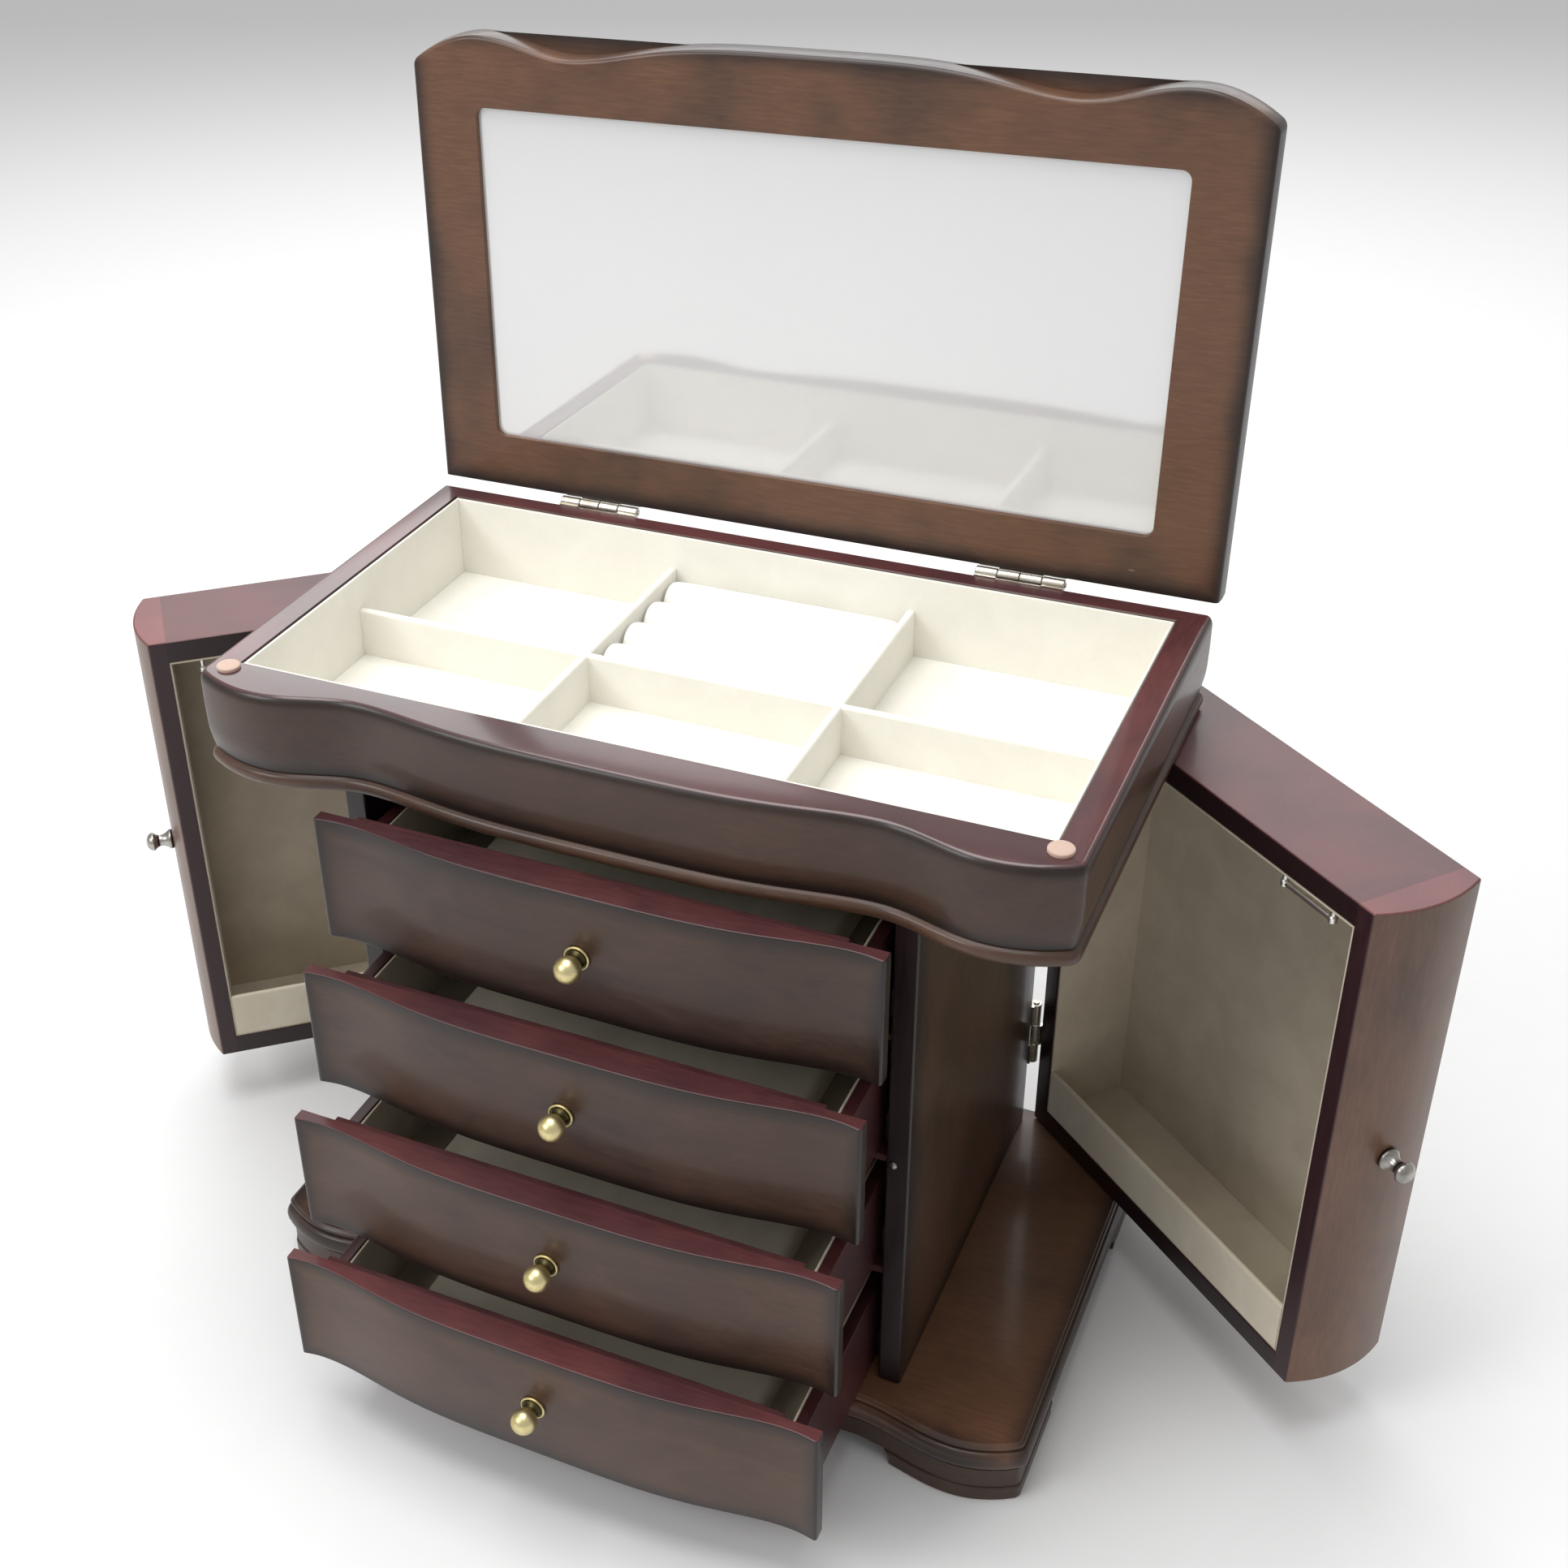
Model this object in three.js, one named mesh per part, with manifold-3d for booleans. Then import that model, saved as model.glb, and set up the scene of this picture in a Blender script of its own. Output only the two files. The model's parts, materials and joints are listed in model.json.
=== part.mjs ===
// Jewellery chest with drawers: a serpentine-fronted wooden chest with a lift-up mirrored lid over
// a divided tray, four drawers, and a hollow swing-out door with a necklace rail on each side.
// Millimetres, +Z up, front towards -Y. It is built standing open: lid up, doors half open and
// the drawers pulled out in steps. The origin is on the floor, at the middle of that open shape.
import * as THREE from 'three';
import { mergeVertices } from 'three/addons/utils/BufferGeometryUtils.js';
import Module from 'manifold-3d';

const wasm = await Module();
wasm.setup();

// ---------- driving dimensions ----------
const GAP = 0.3;                      // space left between neighbouring pieces
const WIDTH = 340;                    // across the flat top of the tray case
const HALF = WIDTH / 2;

// serpentine front: distance of its three turning points from the middle
const TROUGH_X = 102;
const LOBE_X = 143;

// heights, from the floor
const BASE_TOP = 31;
const CARCASS_HEIGHT = 231.2;
const CASE_BOTTOM = BASE_TOP + CARCASS_HEIGHT;
const CASE_HEIGHT = 40;
const RIM = CASE_BOTTOM + CASE_HEIGHT;
const BASE_BOARD_THICKNESS = 14;
const APRON_THICKNESS = 12;
const FOOT_CUTOUT_HEIGHT = 8;
const FRONT_CUTOUT_HALF = 118;
const SIDE_CUTOUT_HALF = 51;

// depths, with y = 0 midway between the back of the case and its front corners
const CASE_BACK = 91.7;
const CARCASS_BACK = 86;
const CARCASS_FRONT = -87;
const BASE_BACK = 93;

// front outlines, as the y of the middle, the troughs, the lobes and the corners
const RIM_FRONT = { bow: -98.2, trough: -91.2, lobe: -99.5, corner: -91.9, half: HALF };
const BASE_FRONT = { bow: -105.5, trough: -98.4, lobe: -104.6, corner: -95.4, half: HALF };

// tray case
const INNER_HALF = 160.2;
const INNER_FRONT = -82.1;
const INNER_BACK = 83;
const MOULDING_HEIGHT = 6;
const CASE_PANEL = 2.4;
const TRAY_LINING = 0.9;
const TRAY_FLOOR = CASE_BOTTOM + CASE_PANEL + GAP + TRAY_LINING;
const DIVIDER_TOP = RIM - 15.3;
const DIVIDER_THICKNESS = 3.4;
const LONG_DIVIDER_Y = -1.5;
const SHORT_DIVIDER_X = 53.9;
const RING_ROLLS = 4;
const RING_ROLL_DIAMETER = 19.2;
const RING_ROLL_PITCH = 19.8;
const BUMPER = { x: 162.5, y: -87.5, diameter: 9.2, height: 1.6 };

const KNUCKLE_PLAY = 0.2;             // trimmed off each end of every hinge knuckle

// lid, hinged behind the back of the case
const LID_PIVOT = { y: 95.2, z: RIM + 0.6 };
const LID_OPEN = 91;                  // degrees from closed, where the hinges stop
const LID_FACE = 1.4;                 // closed underside above the pivot
const LID_HALF = 173;
const LID_FRONT = { bow: -196, trough: -187.8, lobe: -194.6, corner: -185.5, half: LID_HALF };
const LID_EDGE = -2.5;                // hinge edge in front of the pivot
const LID_FRAME = 9.2;
const LID_TOP = 5;
const MIRROR = {
  half: 145.2, start: 23.1, end: 164.3, corner: 4, thickness: 3, lip: 5, reveal: 2.2,
};
const LID_HINGE = { x: 94.8, length: 37, radius: 2.3, pin: 1, leaf: 10.5, sheet: 1 };

// carcass
const PANEL_OUTER = 116.6;
const PANEL_THICKNESS = 9.2;
const BACK_PANEL = 4;
const DUST_PANEL = 3;
const DUST_PANEL_SETBACK = 2.8;
const GUIDE = {                        // strips on the side panels that keep the drawers straight
  thickness: 3.7, height: 14, rise: 2, start: 8, end: 6,
};

// drawers
const DRAWERS = 4;
const DRAWER_FRONT_HALF = 113.35;
const DRAWER_FRONT_HEIGHT = 54.3;
const DRAWER_PITCH = 58.2;
const LOWEST_FRONT = BASE_TOP + 1.2;
const DRAWER_FRONT = { bow: -99.2, trough: -91.8, lobe: -100.1, corner: -92, half: HALF };
const DRAWER_PULLS = [20.6, 40, 59, 77.1]; // how far each stands out, from the top drawer down
const BOX_HALF = 103;
const BOX_WALL = 5;
const BOX_FRONT = 2.2;
const BOX_FLOOR = 3;
const BOX_BACK = 78;
const BOX_DROP = 0.6;                 // underside below the lower edge of the front
const BOX_LOWER = 14.5;               // side tops below the upper edge of the front

// swing-out doors, seen closed from the pivot: forwards is -y, outwards is +x on the right
const DOOR_PIVOT = { x: PANEL_OUTER + 0.8, y: 90.1 };
const DOOR_OPEN = 50;
const DOOR_INNER = 0.8;
const DOOR_THICKNESS = 47.6;
const DOOR_REAR = -4.1;
const DOOR_CORNER = -180.8;
const DOOR_BULGE = 5.4;
const DOOR_BOTTOM = BASE_TOP + 0.8;
const DOOR_TOP = CASE_BOTTOM - 0.8;
const DOOR_RAIL = 10;                 // height of the top and bottom boards
const DOOR_REAR_STILE = 9;
const DOOR_FRONT_STILE = 7.6;
const DOOR_PANEL = 6;
const POCKET_HEIGHT = 24;
const POCKET_THICKNESS = 2.4;
const NECKLACE_RAIL = { x: 5, from: -132, to: -160.5, radius: 1.25, drop: 6.8 };
const DOOR_HINGE = { inset: 67, length: 33, radius: 2.6, pin: 1.1, leaf: 12, sheet: 1 };

const KNOB = { ball: 5, neck: 2.3, flange: 5.1, flangeDepth: 1.4, reach: 8 };
// spool knob of a door: radii, and how far each stands off the face
const DOOR_KNOB = {
  base: 4.6, baseDepth: 1.9, waist: 2.7, waistAt: 5.9, head: 4.4, headAt: 9, reach: 12.4,
};

// ---------- materials ----------
const finish = (color, roughness, metalness = 0) =>
  new THREE.MeshStandardMaterial({ color, roughness, metalness });
const walnut = () => finish(0x4a332b, 0.38);
const plumWood = () => finish(0x5e3032, 0.4);
const suede = () => finish(0xf2ead6, 0.95);
const shadedSuede = () => finish(0xa39a86, 0.95);
const brass = () => finish(0xa08c46, 0.3, 1);
const pewter = () => finish(0x78736c, 0.35, 1);
const nickel = () => finish(0xc9c5bd, 0.3, 1);
const silvered = () => finish(0xe7e7e7, 0.05, 1);
const padBeige = () => finish(0xc9a08c, 0.8);
const backingCard = () => finish(0x8a7a62, 0.9);

// ---------- geometry helpers ----------
const chest = new THREE.Group();
const far = 2 * HALF;                 // beyond the object in any direction

function mesh(parent, name, geometry, material) {
  const piece = new THREE.Mesh(geometry, material);
  piece.name = name;
  parent.add(piece);
}

function solid(geometry) {
  const bare = geometry.clone();
  bare.deleteAttribute('normal');
  bare.deleteAttribute('uv');
  const merged = mergeVertices(bare, 1e-4);
  const triVerts = Uint32Array.from(merged.index.array);
  const vertProperties = Float32Array.from(merged.attributes.position.array);
  return new wasm.Manifold(new wasm.Mesh({ numProp: 3, vertProperties, triVerts }));
}

function geometryOf(body) {
  const { vertProperties, triVerts, numProp } = body.getMesh();
  const geometry = new THREE.BufferGeometry();
  const position = new Float32Array((vertProperties.length / numProp) * 3);
  for (let i = 0; i < position.length / 3; i += 1) {
    for (let k = 0; k < 3; k += 1) position[3 * i + k] = vertProperties[numProp * i + k];
  }
  geometry.setAttribute('position', new THREE.BufferAttribute(position, 3));
  geometry.setIndex(new THREE.BufferAttribute(Uint32Array.from(triVerts), 1));
  geometry.computeVertexNormals();
  return geometry;
}

const cut = (geometry, ...tools) =>
  geometryOf(tools.reduce((body, tool) => body.subtract(solid(tool)), solid(geometry)));
const join = (...pieces) =>
  geometryOf(pieces.map(solid).reduce((body, piece) => body.add(piece)));

// box between two opposite corners, given in either order
function box(x0, x1, y0, y1, z0, z1) {
  const geometry = new THREE.BoxGeometry(Math.abs(x1 - x0), Math.abs(y1 - y0), Math.abs(z1 - z0));
  return geometry.translate((x0 + x1) / 2, (y0 + y1) / 2, (z0 + z1) / 2);
}

function prism(shape, z0, z1, curveSegments = 10) {
  const options = { depth: z1 - z0, bevelEnabled: false, curveSegments };
  return new THREE.ExtrudeGeometry(shape, options).translate(0, 0, z0);
}

// tube or rod along x, with an optional bore
function rodX(x0, x1, y, z, radius, bore = 0, segments = 6) {
  const shape = new THREE.Shape().absarc(0, 0, radius, 0, 2 * Math.PI, false);
  if (bore) shape.holes.push(new THREE.Path().absarc(0, 0, bore, 0, 2 * Math.PI, true));
  const geometry = prism(shape, x0, x1, segments);
  return geometry.rotateX(Math.PI / 2).rotateZ(Math.PI / 2).translate(0, y, z);
}

function rodZ(x, y, z0, z1, radius, bore = 0, segments = 6) {
  const shape = new THREE.Shape().absarc(x, y, radius, 0, 2 * Math.PI, false);
  if (bore) shape.holes.push(new THREE.Path().absarc(x, y, bore, 0, 2 * Math.PI, true));
  return prism(shape, z0, z1, segments);
}

// y of a serpentine front at x: bowed in the middle, hollow at the troughs, full at the lobes
function serpentine(x, { bow, trough, lobe, corner, half }) {
  const reach = Math.abs(x);
  if (reach < TROUGH_X) {
    const t = reach / TROUGH_X;
    return bow + (trough - bow) * (1 - Math.cos(Math.PI * t * t)) / 2;
  }
  if (reach < LOBE_X) {
    const t = (reach - TROUGH_X) / (LOBE_X - TROUGH_X);
    return trough + (lobe - trough) * (1 - Math.cos(Math.PI * t)) / 2;
  }
  const t = (reach - LOBE_X) / (half - LOBE_X);
  return lobe + (corner - lobe) * t * t;
}

// closed outline, counter-clockwise: straight back and sides, serpentine front
function outline(front, back, half = front.half, steps = 30) {
  const points = [new THREE.Vector2(half, back), new THREE.Vector2(-half, back)];
  for (let i = 0; i <= steps; i += 1) {
    const x = -half + (2 * half * i) / steps;
    points.push(new THREE.Vector2(x, serpentine(x, front)));
  }
  return points;
}

// the same outline moved outwards by a distance, corners kept sharp
function offset(points, distance) {
  return points.map((point, i) => {
    const before = points[(i + points.length - 1) % points.length];
    const after = points[(i + 1) % points.length];
    const a = point.clone().sub(before).normalize();
    const b = after.clone().sub(point).normalize();
    const normal = new THREE.Vector2(a.y + b.y, -a.x - b.x).normalize();
    const share = normal.dot(new THREE.Vector2(a.y, -a.x));
    return point.clone().addScaledVector(normal, distance / share);
  });
}

// solid through a stack of offset outlines: profile rows are [offset, z] from the bottom up
function moulded(points, profile) {
  const rings = profile.map(([distance]) => offset(points, distance));
  const count = points.length;
  const positions = rings.flatMap((ring, level) =>
    ring.flatMap(({ x, y }) => [x, y, profile[level][1]]));
  const index = [];
  for (let level = 0; level + 1 < rings.length; level += 1) {
    for (let i = 0; i < count; i += 1) {
      const a = level * count + i;
      const b = level * count + (i + 1) % count;
      index.push(a, b, b + count, a, b + count, a + count);
    }
  }
  const top = (rings.length - 1) * count;
  THREE.ShapeUtils.triangulateShape(rings[0], []).forEach(([a, b, c]) => index.push(a, c, b));
  THREE.ShapeUtils.triangulateShape(rings[rings.length - 1], [])
    .forEach(([a, b, c]) => index.push(top + a, top + b, top + c));
  const geometry = new THREE.BufferGeometry();
  geometry.setAttribute('position', new THREE.Float32BufferAttribute(positions, 3));
  geometry.setIndex(index);
  return geometry;
}

// knob turned about the axis it sticks out along, here -Y from a face at y = 0
function knobGeometry() {
  const neckTop = KNOB.reach - Math.sqrt(KNOB.ball ** 2 - KNOB.neck ** 2);
  const start = Math.asin(KNOB.neck / KNOB.ball);
  const profile = [
    new THREE.Vector2(0, GAP),
    new THREE.Vector2(KNOB.flange, GAP),
    new THREE.Vector2(KNOB.flange, KNOB.flangeDepth - 0.5),
    new THREE.Vector2(KNOB.neck + 1, KNOB.flangeDepth),
    new THREE.Vector2(KNOB.neck, KNOB.flangeDepth + 0.6),
    new THREE.Vector2(KNOB.neck, neckTop),
  ];
  const rings = 6;
  for (let i = 1; i < rings; i += 1) {
    const angle = start + ((Math.PI - start) * i) / rings;
    profile.push(new THREE.Vector2(KNOB.ball * Math.sin(angle),
      KNOB.reach - KNOB.ball * Math.cos(angle)));
  }
  profile.push(new THREE.Vector2(0, KNOB.reach + KNOB.ball));
  return new THREE.LatheGeometry(profile, 14).rotateX(Math.PI);
}

// spool knob turned about the same axis: a base, a hollow waist and a domed head
function doorKnobGeometry() {
  const { base, baseDepth, waist, waistAt, head, headAt, reach } = DOOR_KNOB;
  const profile = [new THREE.Vector2(0, GAP), new THREE.Vector2(base, GAP)];
  const steps = 3;
  for (let i = 0; i < steps; i += 1) {
    const t = i / steps;
    profile.push(new THREE.Vector2(waist + (base - waist) * (1 - t) ** 2,
      baseDepth + (waistAt - baseDepth) * t));
  }
  for (let i = 0; i < steps; i += 1) {
    const t = i / steps;
    profile.push(new THREE.Vector2(waist + (head - waist) * t ** 2, waistAt + (headAt - waistAt) * t));
  }
  for (let i = 0; i < steps; i += 1) {
    const angle = (Math.PI / 2) * (i / steps);
    profile.push(new THREE.Vector2(head * Math.cos(angle), headAt + (reach - headAt) * Math.sin(angle)));
  }
  profile.push(new THREE.Vector2(0, reach));
  return new THREE.LatheGeometry(profile, 14).rotateX(Math.PI);
}

// ---------- base: moulded board on an apron with bracket feet ----------
function buildBase() {
  const board = outline(BASE_FRONT, BASE_BACK);
  const under = BASE_TOP - BASE_BOARD_THICKNESS;
  const profile = [[-3, under], [0, under + 1.2], [2.4, under + 4.5], [2.6, under + 8.5],
    [0.9, under + 11.8], [0, under + 12.4], [0, BASE_TOP]];
  mesh(chest, 'base_board', moulded(board, profile), walnut());

  const top = under - GAP;
  const apron = moulded(board, [[0, 0], [0.6, 1], [0.6, 6.5], [0, 7.5], [0, top]]);
  const insideHalf = HALF - APRON_THICKNESS;
  const inside = box(-insideHalf, insideHalf, BASE_FRONT.trough + APRON_THICKNESS,
    BASE_BACK - APRON_THICKNESS, -1, BASE_TOP);
  mesh(chest, 'base_apron', cut(apron, inside, footCutout(FRONT_CUTOUT_HALF),
    footCutout(SIDE_CUTOUT_HALF).rotateZ(Math.PI / 2)), walnut());
}

// tunnel along y that leaves the bracket feet standing, its ends rounded at the top
function footCutout(half) {
  const height = FOOT_CUTOUT_HEIGHT;
  const shape = new THREE.Shape();
  shape.moveTo(-half, -1);
  shape.lineTo(-half, height * 0.45);
  shape.quadraticCurveTo(-half, height, -half + height * 1.6, height);
  shape.lineTo(half - height * 1.6, height);
  shape.quadraticCurveTo(half, height, half, height * 0.45);
  shape.lineTo(half, -1);
  shape.closePath();
  return prism(shape, -far, far, 5).rotateX(Math.PI / 2);
}

// ---------- carcass: side panels, back, dust panels between the drawers ----------
function buildCarcass() {
  const z0 = BASE_TOP + GAP;
  const z1 = CASE_BOTTOM - GAP;
  const inner = PANEL_OUTER - PANEL_THICKNESS;
  const panelBack = CARCASS_BACK - BACK_PANEL - GAP;
  for (const [name, side] of [['left', -1], ['right', 1]]) {
    const panel = box(side * inner, side * PANEL_OUTER, CARCASS_FRONT, CARCASS_BACK, z0, z1);
    const guides = Array.from({ length: DRAWERS }, (_, i) => {
      const bottom = LOWEST_FRONT + DRAWER_PITCH * i - BOX_DROP + GUIDE.rise;
      return box(side * (inner + 1), side * (inner - GUIDE.thickness), CARCASS_FRONT + GUIDE.start,
        panelBack - GUIDE.end, bottom, bottom + GUIDE.height);
    });
    mesh(chest, `carcass_side_${name}`, join(panel, ...guides), walnut());
  }
  mesh(chest, 'carcass_back',
    box(-inner + GAP, inner - GAP, CARCASS_BACK - BACK_PANEL, CARCASS_BACK, z0, z1), walnut());

  for (let i = 1; i < DRAWERS; i += 1) {
    const top = LOWEST_FRONT + DRAWER_PITCH * (DRAWERS - i) - BOX_DROP - GAP;
    mesh(chest, `dust_panel_${i}`, box(-inner + GAP, inner - GAP, CARCASS_FRONT + DUST_PANEL_SETBACK,
      panelBack, top - DUST_PANEL, top), plumWood());
  }
}

// ---------- tray case: bombe walls, bullnose moulding, bottom panel ----------
function buildCase() {
  const edge = outline(RIM_FRONT, CASE_BACK);
  const wallBottom = CASE_BOTTOM + MOULDING_HEIGHT + GAP;
  const walls = moulded(edge, [[1.2, wallBottom], [2.2, wallBottom + 5], [3, wallBottom + 13],
    [3, RIM - 10], [2.3, RIM - 3.5], [1.1, RIM - 0.9], [0, RIM]]);
  const opening = box(-INNER_HALF, INNER_HALF, INNER_FRONT, INNER_BACK, CASE_BOTTOM - 1, RIM + 1);
  const flatBack = box(-far, far, CASE_BACK, CASE_BACK + 20, CASE_BOTTOM - 1, RIM + 1);
  const ring = solid(walls).subtract(solid(opening)).subtract(solid(flatBack));

  const zone = (x0, x1, y0, y1) => box(x0, x1, y0, y1, CASE_BOTTOM, RIM + 1);
  const sideStart = INNER_FRONT + GAP;
  const sideEnd = INNER_BACK - GAP;
  const zones = {
    case_front: zone(-far, far, -far, INNER_FRONT),
    case_side_left: zone(-far, -INNER_HALF, sideStart, sideEnd),
    case_side_right: zone(far, INNER_HALF, sideStart, sideEnd),
    case_back: zone(-far, far, INNER_BACK, far),
  };
  for (const [name, limits] of Object.entries(zones)) {
    mesh(chest, name, geometryOf(ring.intersect(solid(limits))), walnut());
  }

  const bullnose = moulded(edge, [[1.4, CASE_BOTTOM], [2.7, CASE_BOTTOM + 1.2], [3, CASE_BOTTOM + 3],
    [2.7, CASE_BOTTOM + 4.8], [1.4, CASE_BOTTOM + MOULDING_HEIGHT]]);
  const recess = box(-INNER_HALF, INNER_HALF, INNER_FRONT, INNER_BACK, CASE_BOTTOM + CASE_PANEL, RIM);
  mesh(chest, 'case_bottom_board', cut(bullnose, recess, flatBack), walnut());

  const liner = cut(
    box(-INNER_HALF + GAP, INNER_HALF - GAP, INNER_FRONT + GAP, INNER_BACK - GAP,
      TRAY_FLOOR - TRAY_LINING, RIM - 0.8),
    box(-INNER_HALF + GAP + TRAY_LINING, INNER_HALF - GAP - TRAY_LINING,
      INNER_FRONT + GAP + TRAY_LINING, INNER_BACK - GAP - TRAY_LINING, TRAY_FLOOR, RIM + 1));
  mesh(chest, 'tray_lining', liner, suede());
}

// ---------- tray fittings: halved dividers, ring rolls, rim bumpers ----------
function buildTray() {
  const reach = INNER_HALF - GAP - TRAY_LINING - GAP;
  const y0 = INNER_FRONT + GAP + TRAY_LINING + GAP;
  const y1 = INNER_BACK - GAP - TRAY_LINING - GAP;
  const z0 = TRAY_FLOOR + GAP;
  const half = DIVIDER_THICKNESS / 2;
  const middle = (z0 + DIVIDER_TOP) / 2;
  const slot = half + GAP;

  const slots = [-1, 1].map((side) => {
    const x = side * SHORT_DIVIDER_X;
    return box(x - slot, x + slot, LONG_DIVIDER_Y - 5, LONG_DIVIDER_Y + 5, middle, DIVIDER_TOP + 1);
  });
  const long = box(-reach, reach, LONG_DIVIDER_Y - half, LONG_DIVIDER_Y + half, z0, DIVIDER_TOP);
  mesh(chest, 'long_divider', cut(long, ...slots), suede());

  for (const [name, side] of [['left', -1], ['right', 1]]) {
    const x = side * SHORT_DIVIDER_X;
    const notch = box(x - 5, x + 5, LONG_DIVIDER_Y - slot, LONG_DIVIDER_Y + slot, z0 - 1, middle + GAP);
    const short = box(x - half, x + half, y0, y1, z0, DIVIDER_TOP);
    mesh(chest, `short_divider_${name}`, cut(short, notch), suede());
    mesh(chest, `lid_bumper_${name}`, rodZ(side * BUMPER.x, BUMPER.y, RIM + GAP, RIM + BUMPER.height,
      BUMPER.diameter / 2), padBeige());
  }

  const rollEnd = SHORT_DIVIDER_X - half - GAP;
  const radius = RING_ROLL_DIAMETER / 2;
  const first = y1 - radius;
  const card = box(-rollEnd, rollEnd, first - RING_ROLL_PITCH * (RING_ROLLS - 1), first,
    TRAY_FLOOR + GAP, TRAY_FLOOR + 2);
  const rolls = Array.from({ length: RING_ROLLS }, (_, i) =>
    rodX(-rollEnd, rollEnd, first - RING_ROLL_PITCH * i, TRAY_FLOOR + GAP + radius, radius, 0, 9));
  mesh(chest, 'ring_roll_pad', join(card, ...rolls), suede());
}

// ---------- lid: framed mirror under a top panel, built closed and turned up to its stop ----------
function buildLid() {
  const lid = new THREE.Group();
  lid.position.set(0, LID_PIVOT.y, LID_PIVOT.z);
  lid.rotation.x = -THREE.MathUtils.degToRad(LID_OPEN);
  chest.add(lid);

  const edge = outline(LID_FRONT, LID_EDGE);
  const frameTop = LID_FACE + LID_FRAME;
  const frame = moulded(edge, [[-0.8, LID_FACE], [0, LID_FACE + 1], [0.9, LID_FACE + 5], [0.9, frameTop]]);
  const { half, start, end, corner, lip, reveal } = MIRROR;
  const window = roundedWindow(half, LID_EDGE - start, LID_EDGE - end, corner);
  const rebateHalf = half + lip;
  const rebateStart = LID_EDGE - start + lip;
  const rebateEnd = LID_EDGE - end - lip;
  const rebate = box(-rebateHalf, rebateHalf, rebateStart, rebateEnd, LID_FACE + reveal, frameTop + 1);
  const hingeFlat = box(-far, far, LID_EDGE, far, LID_FACE - 1, frameTop + 2 * LID_TOP);
  mesh(lid, 'lid_frame', cut(frame, prism(window, LID_FACE - 1, frameTop + 1), rebate, hingeFlat), walnut());

  const inRebate = (z0, z1) =>
    box(GAP - rebateHalf, rebateHalf - GAP, rebateStart - GAP, rebateEnd + GAP, z0, z1);
  const glassBottom = LID_FACE + reveal + GAP;
  const glassTop = glassBottom + MIRROR.thickness;
  mesh(lid, 'lid_mirror', inRebate(glassBottom, glassTop), silvered());
  mesh(lid, 'mirror_backing', inRebate(glassTop + GAP, frameTop - GAP), backingCard());

  const panelBottom = frameTop + GAP;
  const top = moulded(edge, [[0.9, panelBottom], [0.6, panelBottom + 2], [-0.6, panelBottom + 4],
    [-2.6, panelBottom + LID_TOP]]);
  mesh(lid, 'lid_top_panel', cut(top, hingeFlat), walnut());
  buildLidHinges(lid);
}

function roundedWindow(half, y1, y0, radius) {
  const shape = new THREE.Shape();
  shape.moveTo(-half + radius, y0);
  shape.lineTo(half - radius, y0);
  shape.absarc(half - radius, y0 + radius, radius, -Math.PI / 2, 0, false);
  shape.lineTo(half, y1 - radius);
  shape.absarc(half - radius, y1 - radius, radius, 0, Math.PI / 2, false);
  shape.lineTo(-half + radius, y1);
  shape.absarc(-half + radius, y1 - radius, radius, Math.PI / 2, Math.PI, false);
  shape.lineTo(-half, y0 + radius);
  shape.absarc(-half + radius, y0 + radius, radius, Math.PI, 1.5 * Math.PI, false);
  return shape;
}

// two butt hinges on the back faces, each with four knuckles: case, lid, lid, case
function buildLidHinges(lid) {
  const { x, length, radius, pin, leaf, sheet } = LID_HINGE;
  const knuckle = length / 4;
  const leafTop = LID_PIVOT.z - radius - 0.6;
  const caseFace = CASE_BACK + GAP;
  const lidFace = LID_EDGE + GAP;
  for (const [name, side] of [['left', -1], ['right', 1]]) {
    const start = side * x - length / 2;
    const span = (k) => [start + k * knuckle + KNUCKLE_PLAY, start + (k + 1) * knuckle - KNUCKLE_PLAY];
    const fixed = [box(start, start + length, caseFace, caseFace + sheet, leafTop - leaf, leafTop),
      rodX(start, start + length, LID_PIVOT.y, LID_PIVOT.z, pin)];
    for (const k of [0, 3]) {
      fixed.push(box(...span(k), caseFace, caseFace + 1.4 * sheet, leafTop - 0.5, LID_PIVOT.z),
        rodX(...span(k), LID_PIVOT.y, LID_PIVOT.z, radius));
    }
    mesh(chest, `lid_hinge_${name}_case_leaf`, join(...fixed), nickel());

    const upright = [radius + 0.6, radius + 0.6 + leaf + 0.8];
    const moving = [box(start, start + length, lidFace, lidFace + sheet, ...upright)];
    for (const k of [1, 2]) {
      moving.push(box(...span(k), lidFace, lidFace + 0.8 * sheet, 0, radius + 1),
        rodX(...span(k), 0, 0, radius));
    }
    mesh(lid, `lid_hinge_${name}_lid_leaf`, cut(join(...moving), rodX(-far, far, 0, 0, pin + GAP)), nickel());
  }
}

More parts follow.
